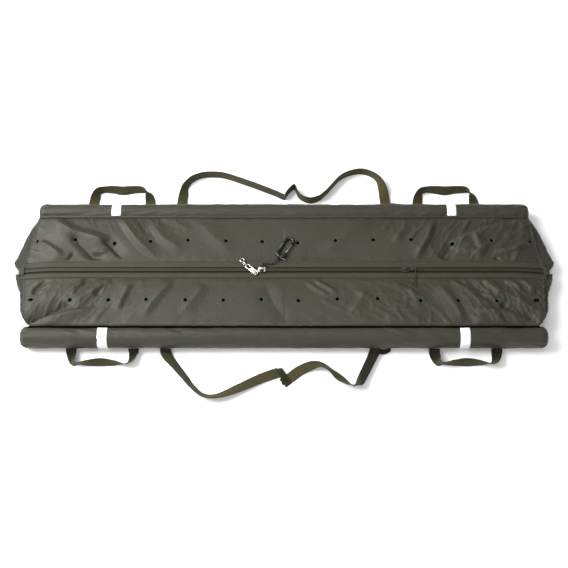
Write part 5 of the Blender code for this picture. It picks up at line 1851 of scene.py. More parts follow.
        for start_run, start_share, end_run, end_share in places:
            start, end = lay(start_run, start_share)[0], lay(end_run, end_share)[0]
            count = max(1, round((end - start).length / self.stitch))
            for k in range(count):
                spots = []
                for part in (k + 0.14, k + 0.86):
                    run = start_run + (end_run - start_run) * part / count
                    share = start_share + (end_share - start_share) * part / count
                    spots.append(lay(run, share))
                (a, _, face), (b, _, _) = spots
                along = (b - a).normalized()
                wide = along.cross(face).normalized() * 0.00036
                for sign in (1, -1):
                    top = face * sign * (self.thickness / 2 + 0.00028)
                    low = face * sign * (self.thickness / 2 - 0.00010)
                    ring = [a + low - wide * sign, a + low + wide * sign, b + low + wide * sign,
                            b + low - wide * sign]
                    tip = along * 0.0005
                    high = [a + top - wide * 0.5 * sign + tip, a + top + wide * 0.5 * sign + tip,
                            b + top + wide * 0.5 * sign - tip, b + top - wide * 0.5 * sign - tip]
                    base = len(verts)
                    verts += ring + high
                    faces += [(base + 3, base + 2, base + 1, base),
                              (base + 4, base + 5, base + 6, base + 7)]
                    faces += [(base + c, base + (c + 1) % 4, base + 4 + (c + 1) % 4, base + 4 + c)
                              for c in range(4)]
        return solid_piece(name, verts, faces, verts)

    def shade_legs(self, piece: bpy.types.Object, reach: float, start: float,
                   depth: float = 1.0) -> bpy.types.Object:
        """Store where webbing has its painted shade: near its float, from a place along it on."""
        shades = []
        for v in piece.data.vertices:
            out = abs(v.co.y) - self.anchor_y
            dark = smooth((reach - out) / (0.45 * reach)) * smooth((v.co.x - start) / 0.012)
            shades.append(0.5 - 0.5 * dark * depth)
        store_ridges(piece, shades)
        return piece

    def build_fold(self) -> bpy.types.Object:
        """Make the small fold of webbing that shows under the near float beside its strap."""
        frames = []
        for k in range(17):
            share = k / 16
            x = 0.213 + 0.033 * share
            y = -(self.anchor_y + 0.0016 + 0.0052 * math.sin(math.pi * share) - 0.003 * share)
            frames.append((Vector((x, y, 0.0085 - 0.002 * math.sin(math.pi * share))),
                           Vector((0.10, 0.62, 0.78)).normalized(),
                           Vector((0.05, -0.78, 0.62)).normalized()))
        return Strip("webbing_fold_near", 0.0125, 0.0030, 6).build(frames)

    def cross_rows(self, *places: float) -> list[tuple[float, float, float, float]]:
        """Rows of stitches straight across, at places along the webbing."""
        return [(at, -0.8, at, 0.8) for at in places]

    def box_rows(self, start: float, length: float) -> list[tuple[float, float, float, float]]:
        """The rows of a stitched box with a cross in it."""
        end, side = start + length, 0.78
        return [(start, -side, start, side), (start, side, end, side), (end, side, end, -side),
                (end, -side, start, -side), (start, -side, end, side), (start, side, end, -side)]

    def make(self, wardrobe: Wardrobe) -> None:
        """Build and dress every handle and strap."""
        strip = Strip("webbing", self.width, self.thickness, 8)
        for side in Side:
            for end in End:
                frames = self.frames(self.handle_rows(side, end))
                node = f"handle_{side.word}_{end.word}"
                strip.name = f"handle_webbing_{side.word}_{end.word}"
                # painted shade on each handle's legs near its float
                legs = self.shade_legs(strip.build(frames), 0.020 if side is Side.FAR else 0.040,
                                       -1.0)
                wardrobe.dress(legs, "webbing", node, [node])
                total = run_lengths([frame[0] for frame in frames])[-1]
                rows = self.cross_rows(*self.sewn, *(total - at for at in self.sewn))
                sewn = self.stitches(f"handle_stitches_{side.word}_{end.word}", frames, rows)
                wardrobe.dress(sewn, "thread", node)
            for run in ("left", "loop", "right"):
                frames = self.frames(self.strap_rows(side, run))
                node, kind = f"weigh_strap_{side.word}_{run}", "strap"
                if run == "loop":
                    node, kind = f"weigh_loop_{side.word}", "loop"
                strip.name = f"{kind}_webbing_{side.word}_{run}"
                # painted shade on each strap run near its float, and on its loop
                legs = self.shade_legs(strip.build(frames), *LEG_SHADES[side, run])
                wardrobe.dress(legs, "webbing", f"strap_{side.word}", [node])
                total = run_lengths([frame[0] for frame in frames])[-1]
                if run == "left":
                    rows = self.cross_rows(*self.sewn) + self.box_rows(total - 0.026, self.box)
                elif run == "right":
                    rows = self.cross_rows(*(total - at for at in self.sewn))
                    rows += self.box_rows(0.004, self.box)
                else:
                    rows = self.cross_rows(0.003, total - 0.003)
                sewn = self.stitches(f"strap_stitches_{side.word}_{run}", frames, rows)
                wardrobe.dress(sewn, "thread", f"strap_{side.word}")
        # painted shade on the small fold under the near float
        fold = self.shade_legs(self.build_fold(), 0.05, -1.0)
        wardrobe.dress(fold, "webbing", "float_near")


# The zip
@dataclass
class Zip:
    """The zip along the middle: two sewn tapes, the meshed teeth and a webbing tab at each end.

    Args:
        plan: the sling's main sizes.
        half: half the teeth's length.
        tape_inner: from the zip's middle to a tape's inner edge.
        tape_outer: to its outer edge.
        tape_thickness: a tape's thickness.
        tooth_pitch: from tooth to tooth on one side.
        tooth_top: the teeth's height over the tapes' middle.
        tab_width: an end tab's width.
        tab_length: its length.
        tab_inner: from the sling's middle to its inner edge.
        tab_thickness: its thickness.
        tape_half: half a tape's length.
        bed_half: half the length of the dark flap of painted shade under and beside the teeth.
        stitch_half: half the length of a row of stitches.
        stitch_pitch: from stitch to stitch.
        stitch_share: where the stitches are, to the tape's width.
    """

    plan: SlingPlan
    half: float = 0.6150
    tape_inner: float = 0.0066
    tape_outer: float = 0.0214
    tape_thickness: float = 0.0009
    tooth_pitch: float = 0.0026
    tooth_top: float = 0.0019
    tab_width: float = 0.022
    tab_length: float = 0.014
    tab_inner: float = 0.6153
    tab_thickness: float = 0.0022
    tape_half: float = 0.6215
    bed_half: float = 0.6200
    stitch_half: float = 0.612
    stitch_pitch: float = 0.0036
    stitch_share: float = 0.80

    def build_tape(self, side: Side) -> bpy.types.Object:
        """Make one tape, which rises in a hem beside the cover and dips beside the teeth."""
        xs = [self.tape_half * (2 * k / 620 - 1) for k in range(621)]
        columns = 12
        verts, places = [], []
        for x in xs:
            for c in range(columns + 1):
                share = c / columns
                y = self.tape_inner + (self.tape_outer - self.tape_inner) * share
                z = self.plan.height_at(0, x)
                wave = 0.0003 * wander(x * 45, side.value * 2.0, share)
                pucker = 0.0002 * math.sin(x * 2 * math.pi / 0.0064) * bell(share - 0.84, 0.1)
                hem = -0.0005 * bell(share - self.stitch_share, 0.055)
                fold = 0.0005 * smooth((share - 0.12) / 0.2) - 0.0006 * smooth(1 - share / 0.12)
                rise = wave + pucker + hem + fold
                verts.append((x, side.value * y, z + rise))
                places.append((x, y))
        return tape_piece(f"zip_cloth_{side.word}", verts, len(xs), places, self.tape_thickness)

    def build_teeth(self) -> bpy.types.Object:
        """Make both rows of teeth, meshed from end to end, from one tooth."""
        profile = [(0.0, -0.36), (0.18, -0.5), (0.42, -0.5), (0.60, -0.34), (0.80, -0.30),
                   (1.0, -0.52)]
        verts, faces = [], []
        count = round(2 * self.half / self.tooth_pitch)
        outline = profile + [(a, -b) for a, b in profile[::-1]]
        for side in Side:
            for k in range(count):
                x = -self.half + self.tooth_pitch * (k + (0.25 if side is Side.FAR else 0.75))
                z = self.plan.height_at(0, x)
                base = len(verts)
                for level, grow in ((-0.0006, 1.0), (self.tooth_top - 0.0005, 1.0),
                                    (self.tooth_top, 0.80)):
                    for a, b in outline:
                        y = (0.0038 - 0.0050 * a * grow) * side.value
                        verts.append((x + b * self.tooth_pitch * 0.92 * grow, y, z + level))
                size = len(outline)
                faces += [tuple(base + v for v in face)
                          for face in grid_faces(3, size, closed=True)]
                faces.append(tuple(base + c for c in range(size))[::-1])
                faces.append(tuple(base + 2 * size + c for c in range(size)))
        piece = solid_piece("zip_teeth", verts, faces, verts)
        activate(piece)
        bpy.ops.object.shade_smooth_by_angle(angle=math.radians(SHARP))
        deselect()
        return piece

    def build_bed(self) -> bpy.types.Object:
        """Make the dark flap of painted shade under the teeth, with raised strips beside them."""
        xs = [self.bed_half * (2 * k / 240 - 1) for k in range(241)]
        half = [(0.0015, -0.0016), (0.0040, -0.0014), (0.0044, 0.0002), (0.0048, 0.0008),
                (0.0072, 0.0008), (0.0077, 0.0002)]
        rows = [(-y, z) for y, z in half[::-1]] + half
        verts = [(x, y + 0.0002 * wander(x * 60, y * 9, 2.0), self.plan.height_at(0, x) + z)
                 for x in xs for y, z in rows]
        return tape_piece("zip_flap", verts, len(xs), verts, TAPE_THICKNESS)

    def build_stitches(self, side: Side) -> bpy.types.Object:
        """Sew one long row of stitches through a tape and the cover's edge."""
        pitch = self.stitch_pitch
        count = round(2 * self.stitch_half / pitch)
        verts, faces = [], []
        y = self.tape_inner + (self.tape_outer - self.tape_inner) * self.stitch_share
        for k in range(count):
            x = -self.stitch_half + pitch * (k + 0.5)
            z = self.plan.height_at(0, x) + self.tape_thickness / 2
            base = len(verts)
            rows = ((-0.36, 0.0, 0.0003), (0.0, 0.00052, 0.00034), (0.36, 0.0, 0.0003))
            for a, lift, wide in rows:
                for b in (-1, 1):
                    verts.append((x + a * pitch, side.value * (y + b * wide), z - 0.0002 + lift))
                    verts.append((x + a * pitch, side.value * (y + b * wide * 0.5), z + lift))
            for r in range(2):
                a = base + r * 4
                for p, q in ((0, 1), (1, 3), (3, 2), (2, 0)):
                    faces.append((a + p, a + q, a + 4 + q, a + 4 + p))
            faces += [(base, base + 1, base + 3, base + 2),
                      (base + 8, base + 10, base + 11, base + 9)]
        return solid_piece(f"zip_stitches_{side.word}", verts, faces, verts)

    def build_tab(self, end: End) -> bpy.types.Object:
        """Make the folded webbing tab over one end of the teeth."""
        frames = []
        for k in range(9):
            x = self.tab_inner + self.tab_length * k / 8
            low = self.plan.height_at(0, min(x, 0.623)) + 0.0006
            curl = 0.0022 * smooth((k - 5) / 3)
            frames.append((Vector((end.value * x, 0, low + self.tab_thickness / 2 + 0.0005 - curl)),
                           Vector((0, 1, 0)), Vector((0, 0, 1))))
        strip = Strip(f"zip_tab_webbing_{end.word}", self.tab_width, self.tab_thickness, 8)
        return strip.build(frames)

    def make(self, wardrobe: Wardrobe) -> None:
        """Build and dress the zip."""
        for side in Side:
            wardrobe.dress(self.build_tape(side), "zip_tape", "sling", [f"zip_tape_{side.word}"])
            wardrobe.dress(self.build_stitches(side), "thread", "sling")
        wardrobe.dress(self.build_teeth(), "zip_coil", "sling", ["zip_coil"])
        # dark flap of painted shade under and beside the teeth
        wardrobe.dress(self.build_bed(), "zip_bed", "sling")
        for end in End:
            wardrobe.dress(self.build_tab(end), "zip_tape", "sling", [f"zip_end_tab_{end.word}"])


# Cords
@dataclass
class Cords:
    """The knotted cord from the first slider to the clip, and the second slider's short pull.

    Args:
        plan: the sling's main sizes.
        diameter: the long cord's diameter.
        pull_diameter: the pull's.
        bridge: the bridge's height over the sliders.
        cord_end: where the cord enters the clip's swivel.
        knot: the diameter of the long cord's knots.
        knot_shares: where they are, as shares of its length.
        pull_x: where the pull hangs, along the zip.
        pull_knot: the diameter of the pull's knot.
        pull_knot_share: where that is.
    """

    plan: SlingPlan
    diameter: float = 0.003
    pull_diameter: float = 0.0022
    bridge: float = 0.0023
    cord_end: tuple[float, float] = (-0.0171, 0.0252)
    knot: float = 0.0100
    knot_shares: tuple[float, ...] = (0.02, 0.235, 0.345)
    pull_x: float = 0.3098
    pull_knot: float = 0.0046
    pull_knot_share: float = 0.83

    def cord_path(self) -> list[Vector]:
        """The long cord's middle line, from its stop knot to the clip."""
        through = SLIDER_TOP + self.bridge
        low = self.plan.seam_height + 0.0037
        x = SLIDER_ONE
        rows = [(x, -0.0062, through - 0.0004), (x, -0.0025, through), (x, 0.0025, through),
                (x, 0.0070, through), (x + 0.0018, 0.0105, through), (x + 0.0038, 0.0130, through),
                (x + 0.0070, 0.0142, through + 0.0002), (x + 0.0100, 0.0152, through - 0.0002),
                (x + 0.0150, 0.0158, low + 0.0006), (x + 0.0220, 0.0154, low),
                (x + 0.0285, 0.0166, low + 0.0010),
                (self.cord_end[0] - 0.0035, self.cord_end[1] - 0.0050, low + 0.0022),
                (*self.cord_end, CLIP_HEIGHT)]
        return [Vector(row) for row in smooth_route(rows, 10)]

    def pull_path(self) -> list[Vector]:
        """The pull's middle line, from the hole of its tab over the cover."""
        x, top = self.pull_x, SLIDER_TOP + 0.0034
        low = self.plan.seam_height + 0.0035
        rows = [(x, 0.0006, top - 0.0024), (x, 0.0008, top - 0.0002), (x, -0.0020, top + 0.0008),
                (x, -0.0062, top + 0.0002), (x - 0.0004, -0.0140, low + 0.0012),
                (x - 0.0016, -0.0240, low + 0.0004), (x - 0.0020, -0.0330, low + 0.0004),
                (x - 0.0012, -0.0400, low + 0.0006), (x, -0.0478, low + 0.0002)]
        return [Vector(row) for row in smooth_route(rows, 8)]

    def build_knot(self, name: str, centre: Vector, along: Vector, size: float,
                   thick: float) -> bpy.types.Object:
        """Tie an overhand knot of the cord round a place.

        Args:
            name: the piece's name.
            centre: the knot's middle.
            along: the cord's direction there.
            size: how far the knot reaches across.
            thick: the cord's diameter.

        Returns:
            The knot.
        """
        along = along.normalized()
        side = along.cross(Vector((0, 0, 1))).normalized()
        up = side.cross(along)
        loop, count = [], 72
        tight = (size - thick) / 2 / 1.35
        for k in range(count):
            t = 2 * math.pi * k / count
            wide = 1.9 + math.cos(3 * t)
            a, b = wide * math.cos(2 * t), wide * math.sin(2 * t)
            loop.append(centre + tight * (side * a * 0.47 + up * b * 0.47
                                          + along * math.sin(3 * t) * 0.72))
        return tube(name, loop, lambda share: thick * 0.44, 10, closed=True)

    def make(self, wardrobe: Wardrobe) -> None:
        """Build and dress both cords."""
        line = spaced(self.cord_path(), 0.0011)
        cord = tube("zip_cord_braid", line, lambda share: self.diameter / 2, 12)
        wardrobe.dress(cord, "black_cord", "slider_one", ["zip_cord"])
        for number, share in enumerate(self.knot_shares):
            at = round(share * (len(line) - 1))
            along = line[min(at + 2, len(line) - 1)] - line[max(at - 2, 0)]
            knot = self.build_knot(f"cord_knot_{number + 1}", line[at], along, self.knot,
                                   self.diameter * 0.86)
            wardrobe.dress(knot, "black_cord", "slider_one")

        line = spaced(self.pull_path(), 0.0008)
        pull = tube("pull_cord_braid", line, lambda share: self.pull_diameter / 2, 10)
        wardrobe.dress(pull, "black_cord", "pull", ["pull_cord"])
        at = round(self.pull_knot_share * (len(line) - 1))
        knot = self.build_knot("pull_knot", line[at], line[at + 2] - line[at - 2], self.pull_knot,
                               self.pull_diameter * 0.86)
        wardrobe.dress(knot, "black_cord", "pull")


# Hardware, modelled in edit mode
def shape_up(piece: bpy.types.Object) -> None:
    """Open one piece in edit mode with nothing selected."""
    activate(piece)
    bpy.ops.object.mode_set(mode="EDIT")
    bpy.ops.mesh.select_all(action="DESELECT")


def pick(kind: str, test: Callable[[Vector], bool]) -> None:
    """Select what passes a test in the piece that is in edit mode, and nothing else.

    Args:
        kind: VERT, EDGE or FACE.
        test: says of a middle whether it is picked.
    """
    bpy.ops.mesh.select_mode(type=kind)
    bpy.ops.mesh.select_all(action="DESELECT")
    mesh = bmesh.from_edit_mesh(bpy.context.object.data)
    parts = {"VERT": mesh.verts, "EDGE": mesh.edges, "FACE": mesh.faces}[kind]
    for part in parts:
        corners = [part] if kind == "VERT" else list(part.verts)
        part.select_set(test(sum((corner.co for corner in corners), Vector()) / len(corners)))
    mesh.select_flush_mode()
    bmesh.update_edit_mesh(bpy.context.object.data)


def pick_all() -> None:
    """Select the whole piece that is in edit mode."""
    bpy.ops.mesh.select_all(action="SELECT")


def scale_picked(x: float, y: float, z: float, about: Point = (0, 0, 0)) -> None:
    """Scale what is picked about a place."""
    bpy.ops.transform.resize(value=(x, y, z), center_override=about)


def slice_at(x: float) -> None:
    """Slice what is picked across its length."""
    bpy.ops.mesh.bisect(plane_co=(x, 0, 0), plane_no=(1, 0, 0))


def part_halves(stretch: float) -> None:
    """Move the two halves of the piece that is in edit mode apart, along X."""
    for sign in (1, -1):
        pick("VERT", lambda middle: middle.x * sign > 1e-6)
        bpy.ops.transform.translate(value=(sign * stretch, 0, 0))


def finish_shape(close: bool = True) -> None:
    """Close what is open, turn the faces outwards and leave edit mode."""
    bpy.ops.mesh.select_mode(type="VERT")
    pick_all()
    if close:
        bpy.ops.mesh.fill_holes(sides=0)
    bpy.ops.mesh.normals_make_consistent(inside=False)
    bpy.ops.mesh.select_all(action="DESELECT")
    deselect()


def long_ring(name: str, ring: float, wire: float, stretch: float,
              tall: float = 1.0) -> bpy.types.Object:
    """Make a long ring: a torus whose two halves are moved apart.

    Args:
        name: its name.
        ring: the half circles' radius, on the wire's middle.
        wire: the wire's radius.
        stretch: how far each half is moved along.
        tall: how tall the wire is, to its width.

    Returns:
        The ring, about the origin, its length on X.
    """
    deselect()
    bpy.ops.mesh.primitive_torus_add(major_radius=ring, minor_radius=wire, major_segments=64,
                                     minor_segments=20)
    piece = named(name)
    shape_up(piece)
    part_halves(stretch)
    pick_all()
    scale_picked(1, 1, tall)
    finish_shape(close=False)
    return piece


def turned_rod(name: str, stations: Sequence[tuple[float, float]],
               sides: int = 32) -> bpy.types.Object:
    """Turn a rod: a filled circle is extruded and scaled from station to station.

    Args:
        name: its name.
        stations: places along the rod with its radius there.
        sides: how many sides it has.

    Returns:
        The rod, its length on Z.
    """
    deselect()
    start, radius = stations[0]
    bpy.ops.mesh.primitive_circle_add(vertices=sides, radius=radius, fill_type="NGON",
                                      location=(0, 0, start))
    piece = named(name)
    bpy.ops.object.transform_apply(location=True)
    bpy.ops.object.mode_set(mode="EDIT")
    pick_all()
    for (here, before), (there, after) in zip(stations, stations[1:]):
        bpy.ops.mesh.extrude_region_move(TRANSFORM_OT_translate={"value": (0, 0, there - here)})
        scale_picked(after / before, after / before, 1, (0, 0, there))
    finish_shape()
    return piece


def lay(piece: bpy.types.Object, middle: Sequence[float], along: Sequence[float],
        axis: str = "X") -> None:
    """Lay a piece in its place, and keep the place in its mesh.

    Args:
        piece: the piece.
        middle: where its origin goes.
        along: which way its axis points, on the level.
        axis: X for a piece that lies flat, Z for a rod.
    """
    run = Vector((along[0], along[1], 0)).normalized()
    across = Vector((-run.y, run.x, 0))
    up = Vector((0, 0, 1))
    columns = (run, across, up) if axis == "X" else (across, up, run)
    turn = Matrix(columns).transposed().to_4x4()
    piece.matrix_world = Matrix.Translation(middle) @ turn
    settle(piece, 35)


def stand(piece: bpy.types.Object, place: Matrix) -> None:
    """Stand a piece in its place, and keep the place in its mesh."""
    piece.matrix_world = place
    settle(piece)


def join(pieces: Sequence[bpy.types.Object], name: str) -> bpy.types.Object:
    """Join pieces into the first one."""
    deselect()
    for piece in pieces:
        piece.select_set(True)
    bpy.context.view_layer.objects.active = pieces[0]
    bpy.ops.object.join()
    pieces[0].name = name
    deselect()
    return pieces[0]


@dataclass
class Slider:
    """A zip slider: its plate with a flange down each side, and the bridge that its pull runs on.

    Args:
        name: the frame's name for it.
        place: where it stands along the zip.
        body: the body that it rides on.
        finish: its material's name.
        length: the plate's length.
        width: the plate's width.
        plate: the plate's thickness.
        top: height of the plate's upper face.
        foot: height of the flanges' lower edges.
        channel: half the width between the flanges.
        bridge_half: half the bridge's length.
        bridge_rise: how high it stands over the plate.
        bridge_width: its width.
        bridge_wall: its thickness.
    """

    name: str
    place: float
    body: str
    finish: str
    length: float = 0.018
    width: float = 0.0140
    plate: float = 0.0014
    top: float = SLIDER_TOP
    foot: float = 0.0443
    channel: float = 0.0058
    bridge_half: float = 0.0065
    bridge_rise: float = 0.0060
    bridge_width: float = 0.0044
    bridge_wall: float = 0.0014

    def build_plate(self) -> bpy.types.Object:
        """Make the plate from a grid, drawn in at its ends and extruded down in two flanges."""
        deselect()
        bpy.ops.mesh.primitive_grid_add(x_subdivisions=10, y_subdivisions=12, size=1,
                                        location=(0, 0, self.top - self.plate))
        piece = bpy.context.object
        piece.scale = (self.length, self.width, 1)
        bpy.ops.object.transform_apply(location=True, scale=True)
        shape_up(piece)
        half = self.length / 2
        for reach, share in ((0.95, 0.80), (0.75, 0.93), (-0.95, 0.86), (-0.75, 0.96)):
            pick("VERT", lambda middle: abs(middle.x - half * reach) < half * 0.11)
            scale_picked(1, share, 1)
        bpy.ops.mesh.select_mode(type="FACE")
        pick_all()
        bpy.ops.mesh.extrude_region_move(TRANSFORM_OT_translate={"value": (0, 0, self.plate)})
        scale_picked(0.96, 0.94, 1, (0, 0, self.top))
        low = self.top - self.plate
        pick("FACE", lambda middle: abs(middle.z - low) < 1e-6 and abs(middle.y) > self.channel)
        bpy.ops.mesh.extrude_region_move(TRANSFORM_OT_translate={"value": (0, 0, self.foot - low)})
        finish_shape(close=False)
        round_edges(piece, 0.00032)
        return piece

    def build_bridge(self) -> bpy.types.Object:
        """Make the bridge from a ring that is cut in half and drawn out to a band."""
        wire = self.bridge_wall / 2
        ring = self.bridge_rise - wire - 0.0006
        arch = long_ring("bridge", ring, wire, self.bridge_half - ring - wire)
        shape_up(arch)
        pick("VERT", lambda middle: middle.y < -0.0004)
        bpy.ops.mesh.delete(type="VERT")
        pick_all()
        scale_picked(1, 1, self.bridge_width / self.bridge_wall)
        finish_shape()
        raised = Matrix.Translation((0, 0, self.top + 0.0006))
        stand(arch, raised @ Matrix.Rotation(math.pi / 2, 4, "X"))
        return arch

    def make(self, wardrobe: Wardrobe) -> None:
        """Build and dress the slider."""
        piece = join([self.build_plate(), self.build_bridge()], f"{self.name}_body")
        lay(piece, (self.place, 0, 0), (1, 0))
        wardrobe.dress(piece, self.finish, self.body, [self.name])


@dataclass
class PullTab:
    """The second slider's pull: a flat waisted tab with a slot and a hole for its cord.

    Args:
        middle: its middle.
        length: its length.
        width: its width.
        thickness: its thickness.
        wall: how much metal is left beyond the slot.
        slot_length: the slot's length.
        slot_width: the slot's width.
        hole: the hole's diameter.
        hole_place: the hole's place, from the tab's middle.
    """

    middle: Point = (0.3011, 0.0, 0.04907767)
    length: float = 0.022
    width: float = 0.0088
    thickness: float = 0.0014
    wall: float = 0.0016
    slot_length: float = 0.0065
    slot_width: float = 0.0050
    hole: float = 0.0036
    hole_place: float = 0.0070

    def cut(self, piece: bpy.types.Object, cutter: bpy.types.Object) -> None:
        """Cut one shape out of the tab."""
        made = piece.modifiers.new("opening", "BOOLEAN")
        made.operation, made.solver, made.object = "DIFFERENCE", "EXACT", cutter
        activate(piece)
        bpy.ops.object.modifier_apply(modifier=made.name)
        bpy.data.objects.remove(cutter)

    def build(self) -> bpy.types.Object:
        """Make the tab from a disc whose halves are moved apart, waisted, cut and rounded."""
        deselect()
        bpy.ops.mesh.primitive_cylinder_add(vertices=64, radius=self.width / 2,
                                            depth=self.thickness)
        piece = named("slider_pull_tab")
        shape_up(piece)
        part_halves((self.length - self.width) / 2)
        pick("VERT", lambda middle: abs(middle.x) < 1e-6)
        scale_picked(1, 0.84, 1)
        bpy.ops.transform.translate(value=(0.0010, 0, 0))
        finish_shape(close=False)
        deselect()
        bpy.ops.mesh.primitive_cube_add(
            size=1, location=(-self.length / 2 + self.wall + self.slot_length / 2, 0, 0),
            scale=(self.slot_length, self.slot_width, self.thickness * 3))
        slot = bpy.context.object
        bpy.ops.object.transform_apply(location=True, scale=True)
        self.cut(piece, slot)
        deselect()
        bpy.ops.mesh.primitive_cylinder_add(vertices=32, radius=self.hole / 2,
                                            depth=self.thickness * 3,
                                            location=(self.hole_place, 0, 0))
        hole = bpy.context.object
        bpy.ops.object.transform_apply(location=True)
        self.cut(piece, hole)
        round_edges(piece, 0.00030)
        return piece

    def make(self, wardrobe: Wardrobe) -> None:
        """Build and dress the tab."""
        piece = self.build()
        lay(piece, self.middle, (1, 0))
        wardrobe.dress(piece, "dark_metal", "pull", ["slider_pull"])


@dataclass
class SnapHook:
    """The small snap hook that locks the zip, with its sprung bolt and its ring.

    Args:
        eye: the eye's middle on the ground plan.
        nose: the nose's middle.
        height: the hook's height.
        width: its width.
        thickness: its thickness.
        wall: its wall's width.
        bolt_width: the bolt's width.
        ring_centre: the ring's middle.
        ring_radius: the ring's radius.
        ring_wire: its wire's diameter.
        play: the play that each moving fit has.
    """

    eye: tuple[float, float] = (-0.0862, 0.0075)
    nose: tuple[float, float] = (-0.0672, -0.0100)
    height: float = 0.04787767
    width: float = 0.0110
    thickness: float = 0.0036
    wall: float = 0.0022
    bolt_width: float = 0.0040
    ring_centre: Point = (-0.0944381, 0.0150877, 0.0478777)
    ring_radius: float = 0.0046
    ring_wire: float = 0.0016
    play: float = 0.0003

    def build_body(self) -> bpy.types.Object:
        """Make the body: a long ring with a waist below its eye and a fuller nose."""
        reach = math.dist(self.eye, self.nose) / 2
        ring = (self.width - self.wall) / 2 + 0.0003
        piece = long_ring("snap_hook_body", ring, self.wall * 0.68, reach,
                          self.thickness / self.wall * 0.74)
        shape_up(piece)
        pick_all()
        for place in (-0.0105, -0.0088, -0.0070, -0.0035, 0.0045, 0.0090):
            slice_at(place)
            pick_all()
        pick("VERT", lambda middle: -0.0110 < middle.x < -0.0065)
        scale_picked(1, 0.90, 1.12)
        pick("VERT", lambda middle: 0.0040 < middle.x < 0.0095)
        scale_picked(1, 1.04, 1.0)
        finish_shape(close=False)
        return piece

    def build_bolt(self) -> bpy.types.Object:
        """Make the sprung bolt: a turned rod with a collar and a rounded tip, and its knob."""
        end = (math.dist(self.eye, self.nose) + self.width) / 2 - self.wall
        low, high = -end + self.width / 2, end - 3 * self.play
        full = self.bolt_width / 2
        start = low + 0.0064
        rod = turned_rod("snap_hook_bolt",
                         [(start, full * 0.55), (start + 0.0004, full * 1.20),
                          (start + 0.0014, full * 1.42), (high - 0.0062, full * 1.42),
                          (high - 0.0046, full * 1.25), (high - 0.0022, full * 1.10),
                          (high - 0.0009, full * 0.80), (high - 0.0002, full * 0.45),
                          (high, full * 0.12)])
        shape_up(rod)
        pick_all()
        scale_picked(1, 0.62, 1)
        finish_shape(close=False)
        knob = turned_rod("thumb_knob",
                          [(0.0, 0.0009), (0.0016, 0.0009), (0.0018, 0.0013), (0.0023, 0.0015),
                           (0.0027, 0.0012), (0.0029, 0.0005)], 20)
        raised = Matrix.Translation((0, 0, low + 0.0100))
        stand(knob, raised @ Matrix.Rotation(-math.pi / 2, 4, "X"))
        return join([rod, knob], "snap_hook_bolt")

    def build_ring(self) -> bpy.types.Object:
        """Make the ring: a small one in the hook's eye, a turned stem and the open ring on it."""
        wire = self.ring_wire / 2
        inner = long_ring("snap_hook_ring", self.ring_radius * 0.50, wire * 0.9, 0.0006)
        shape_up(inner)
        pick("VERT", lambda middle: middle.x < -self.ring_radius * 0.50)
        scale_picked(1, 1, 1.35, (-self.ring_radius * 0.6, 0, 0))
        finish_shape(close=False)
        stem = turned_rod("stem", [(-0.0026, 0.0009), (-0.0031, 0.0013), (-0.0042, 0.0013),
                                   (-0.0046, 0.0009), (-0.0056, 0.0008)], 20)
        stand(stem, Matrix.Rotation(math.pi / 2, 4, "Y"))
        outer = long_ring("open_ring", self.ring_radius * 1.02, wire * 1.1, 0.0004)
        stand(outer, Matrix.Translation((-0.0104, 0, 0)))
        return join([inner, stem, outer], "snap_hook_ring")

    def make(self, wardrobe: Wardrobe) -> None:
        """Build and dress the hook's three pieces."""
        run = (self.nose[0] - self.eye[0], self.nose[1] - self.eye[1])
        middle = ((self.eye[0] + self.nose[0]) / 2, (self.eye[1] + self.nose[1]) / 2, self.height)
        body, bolt, ring = self.build_body(), self.build_bolt(), self.build_ring()
        lay(body, middle, run)
        lay(bolt, middle, run, "Z")
        lay(ring, self.ring_centre, (0.46, -0.89))
        wardrobe.dress(body, "nickel", "hook", ["lock_hook"])
        wardrobe.dress(bolt, "nickel", "hook_bolt", ["lock_hook_bolt"])
        wardrobe.dress(ring, "nickel", "hook_ring", ["lock_hook_ring"])


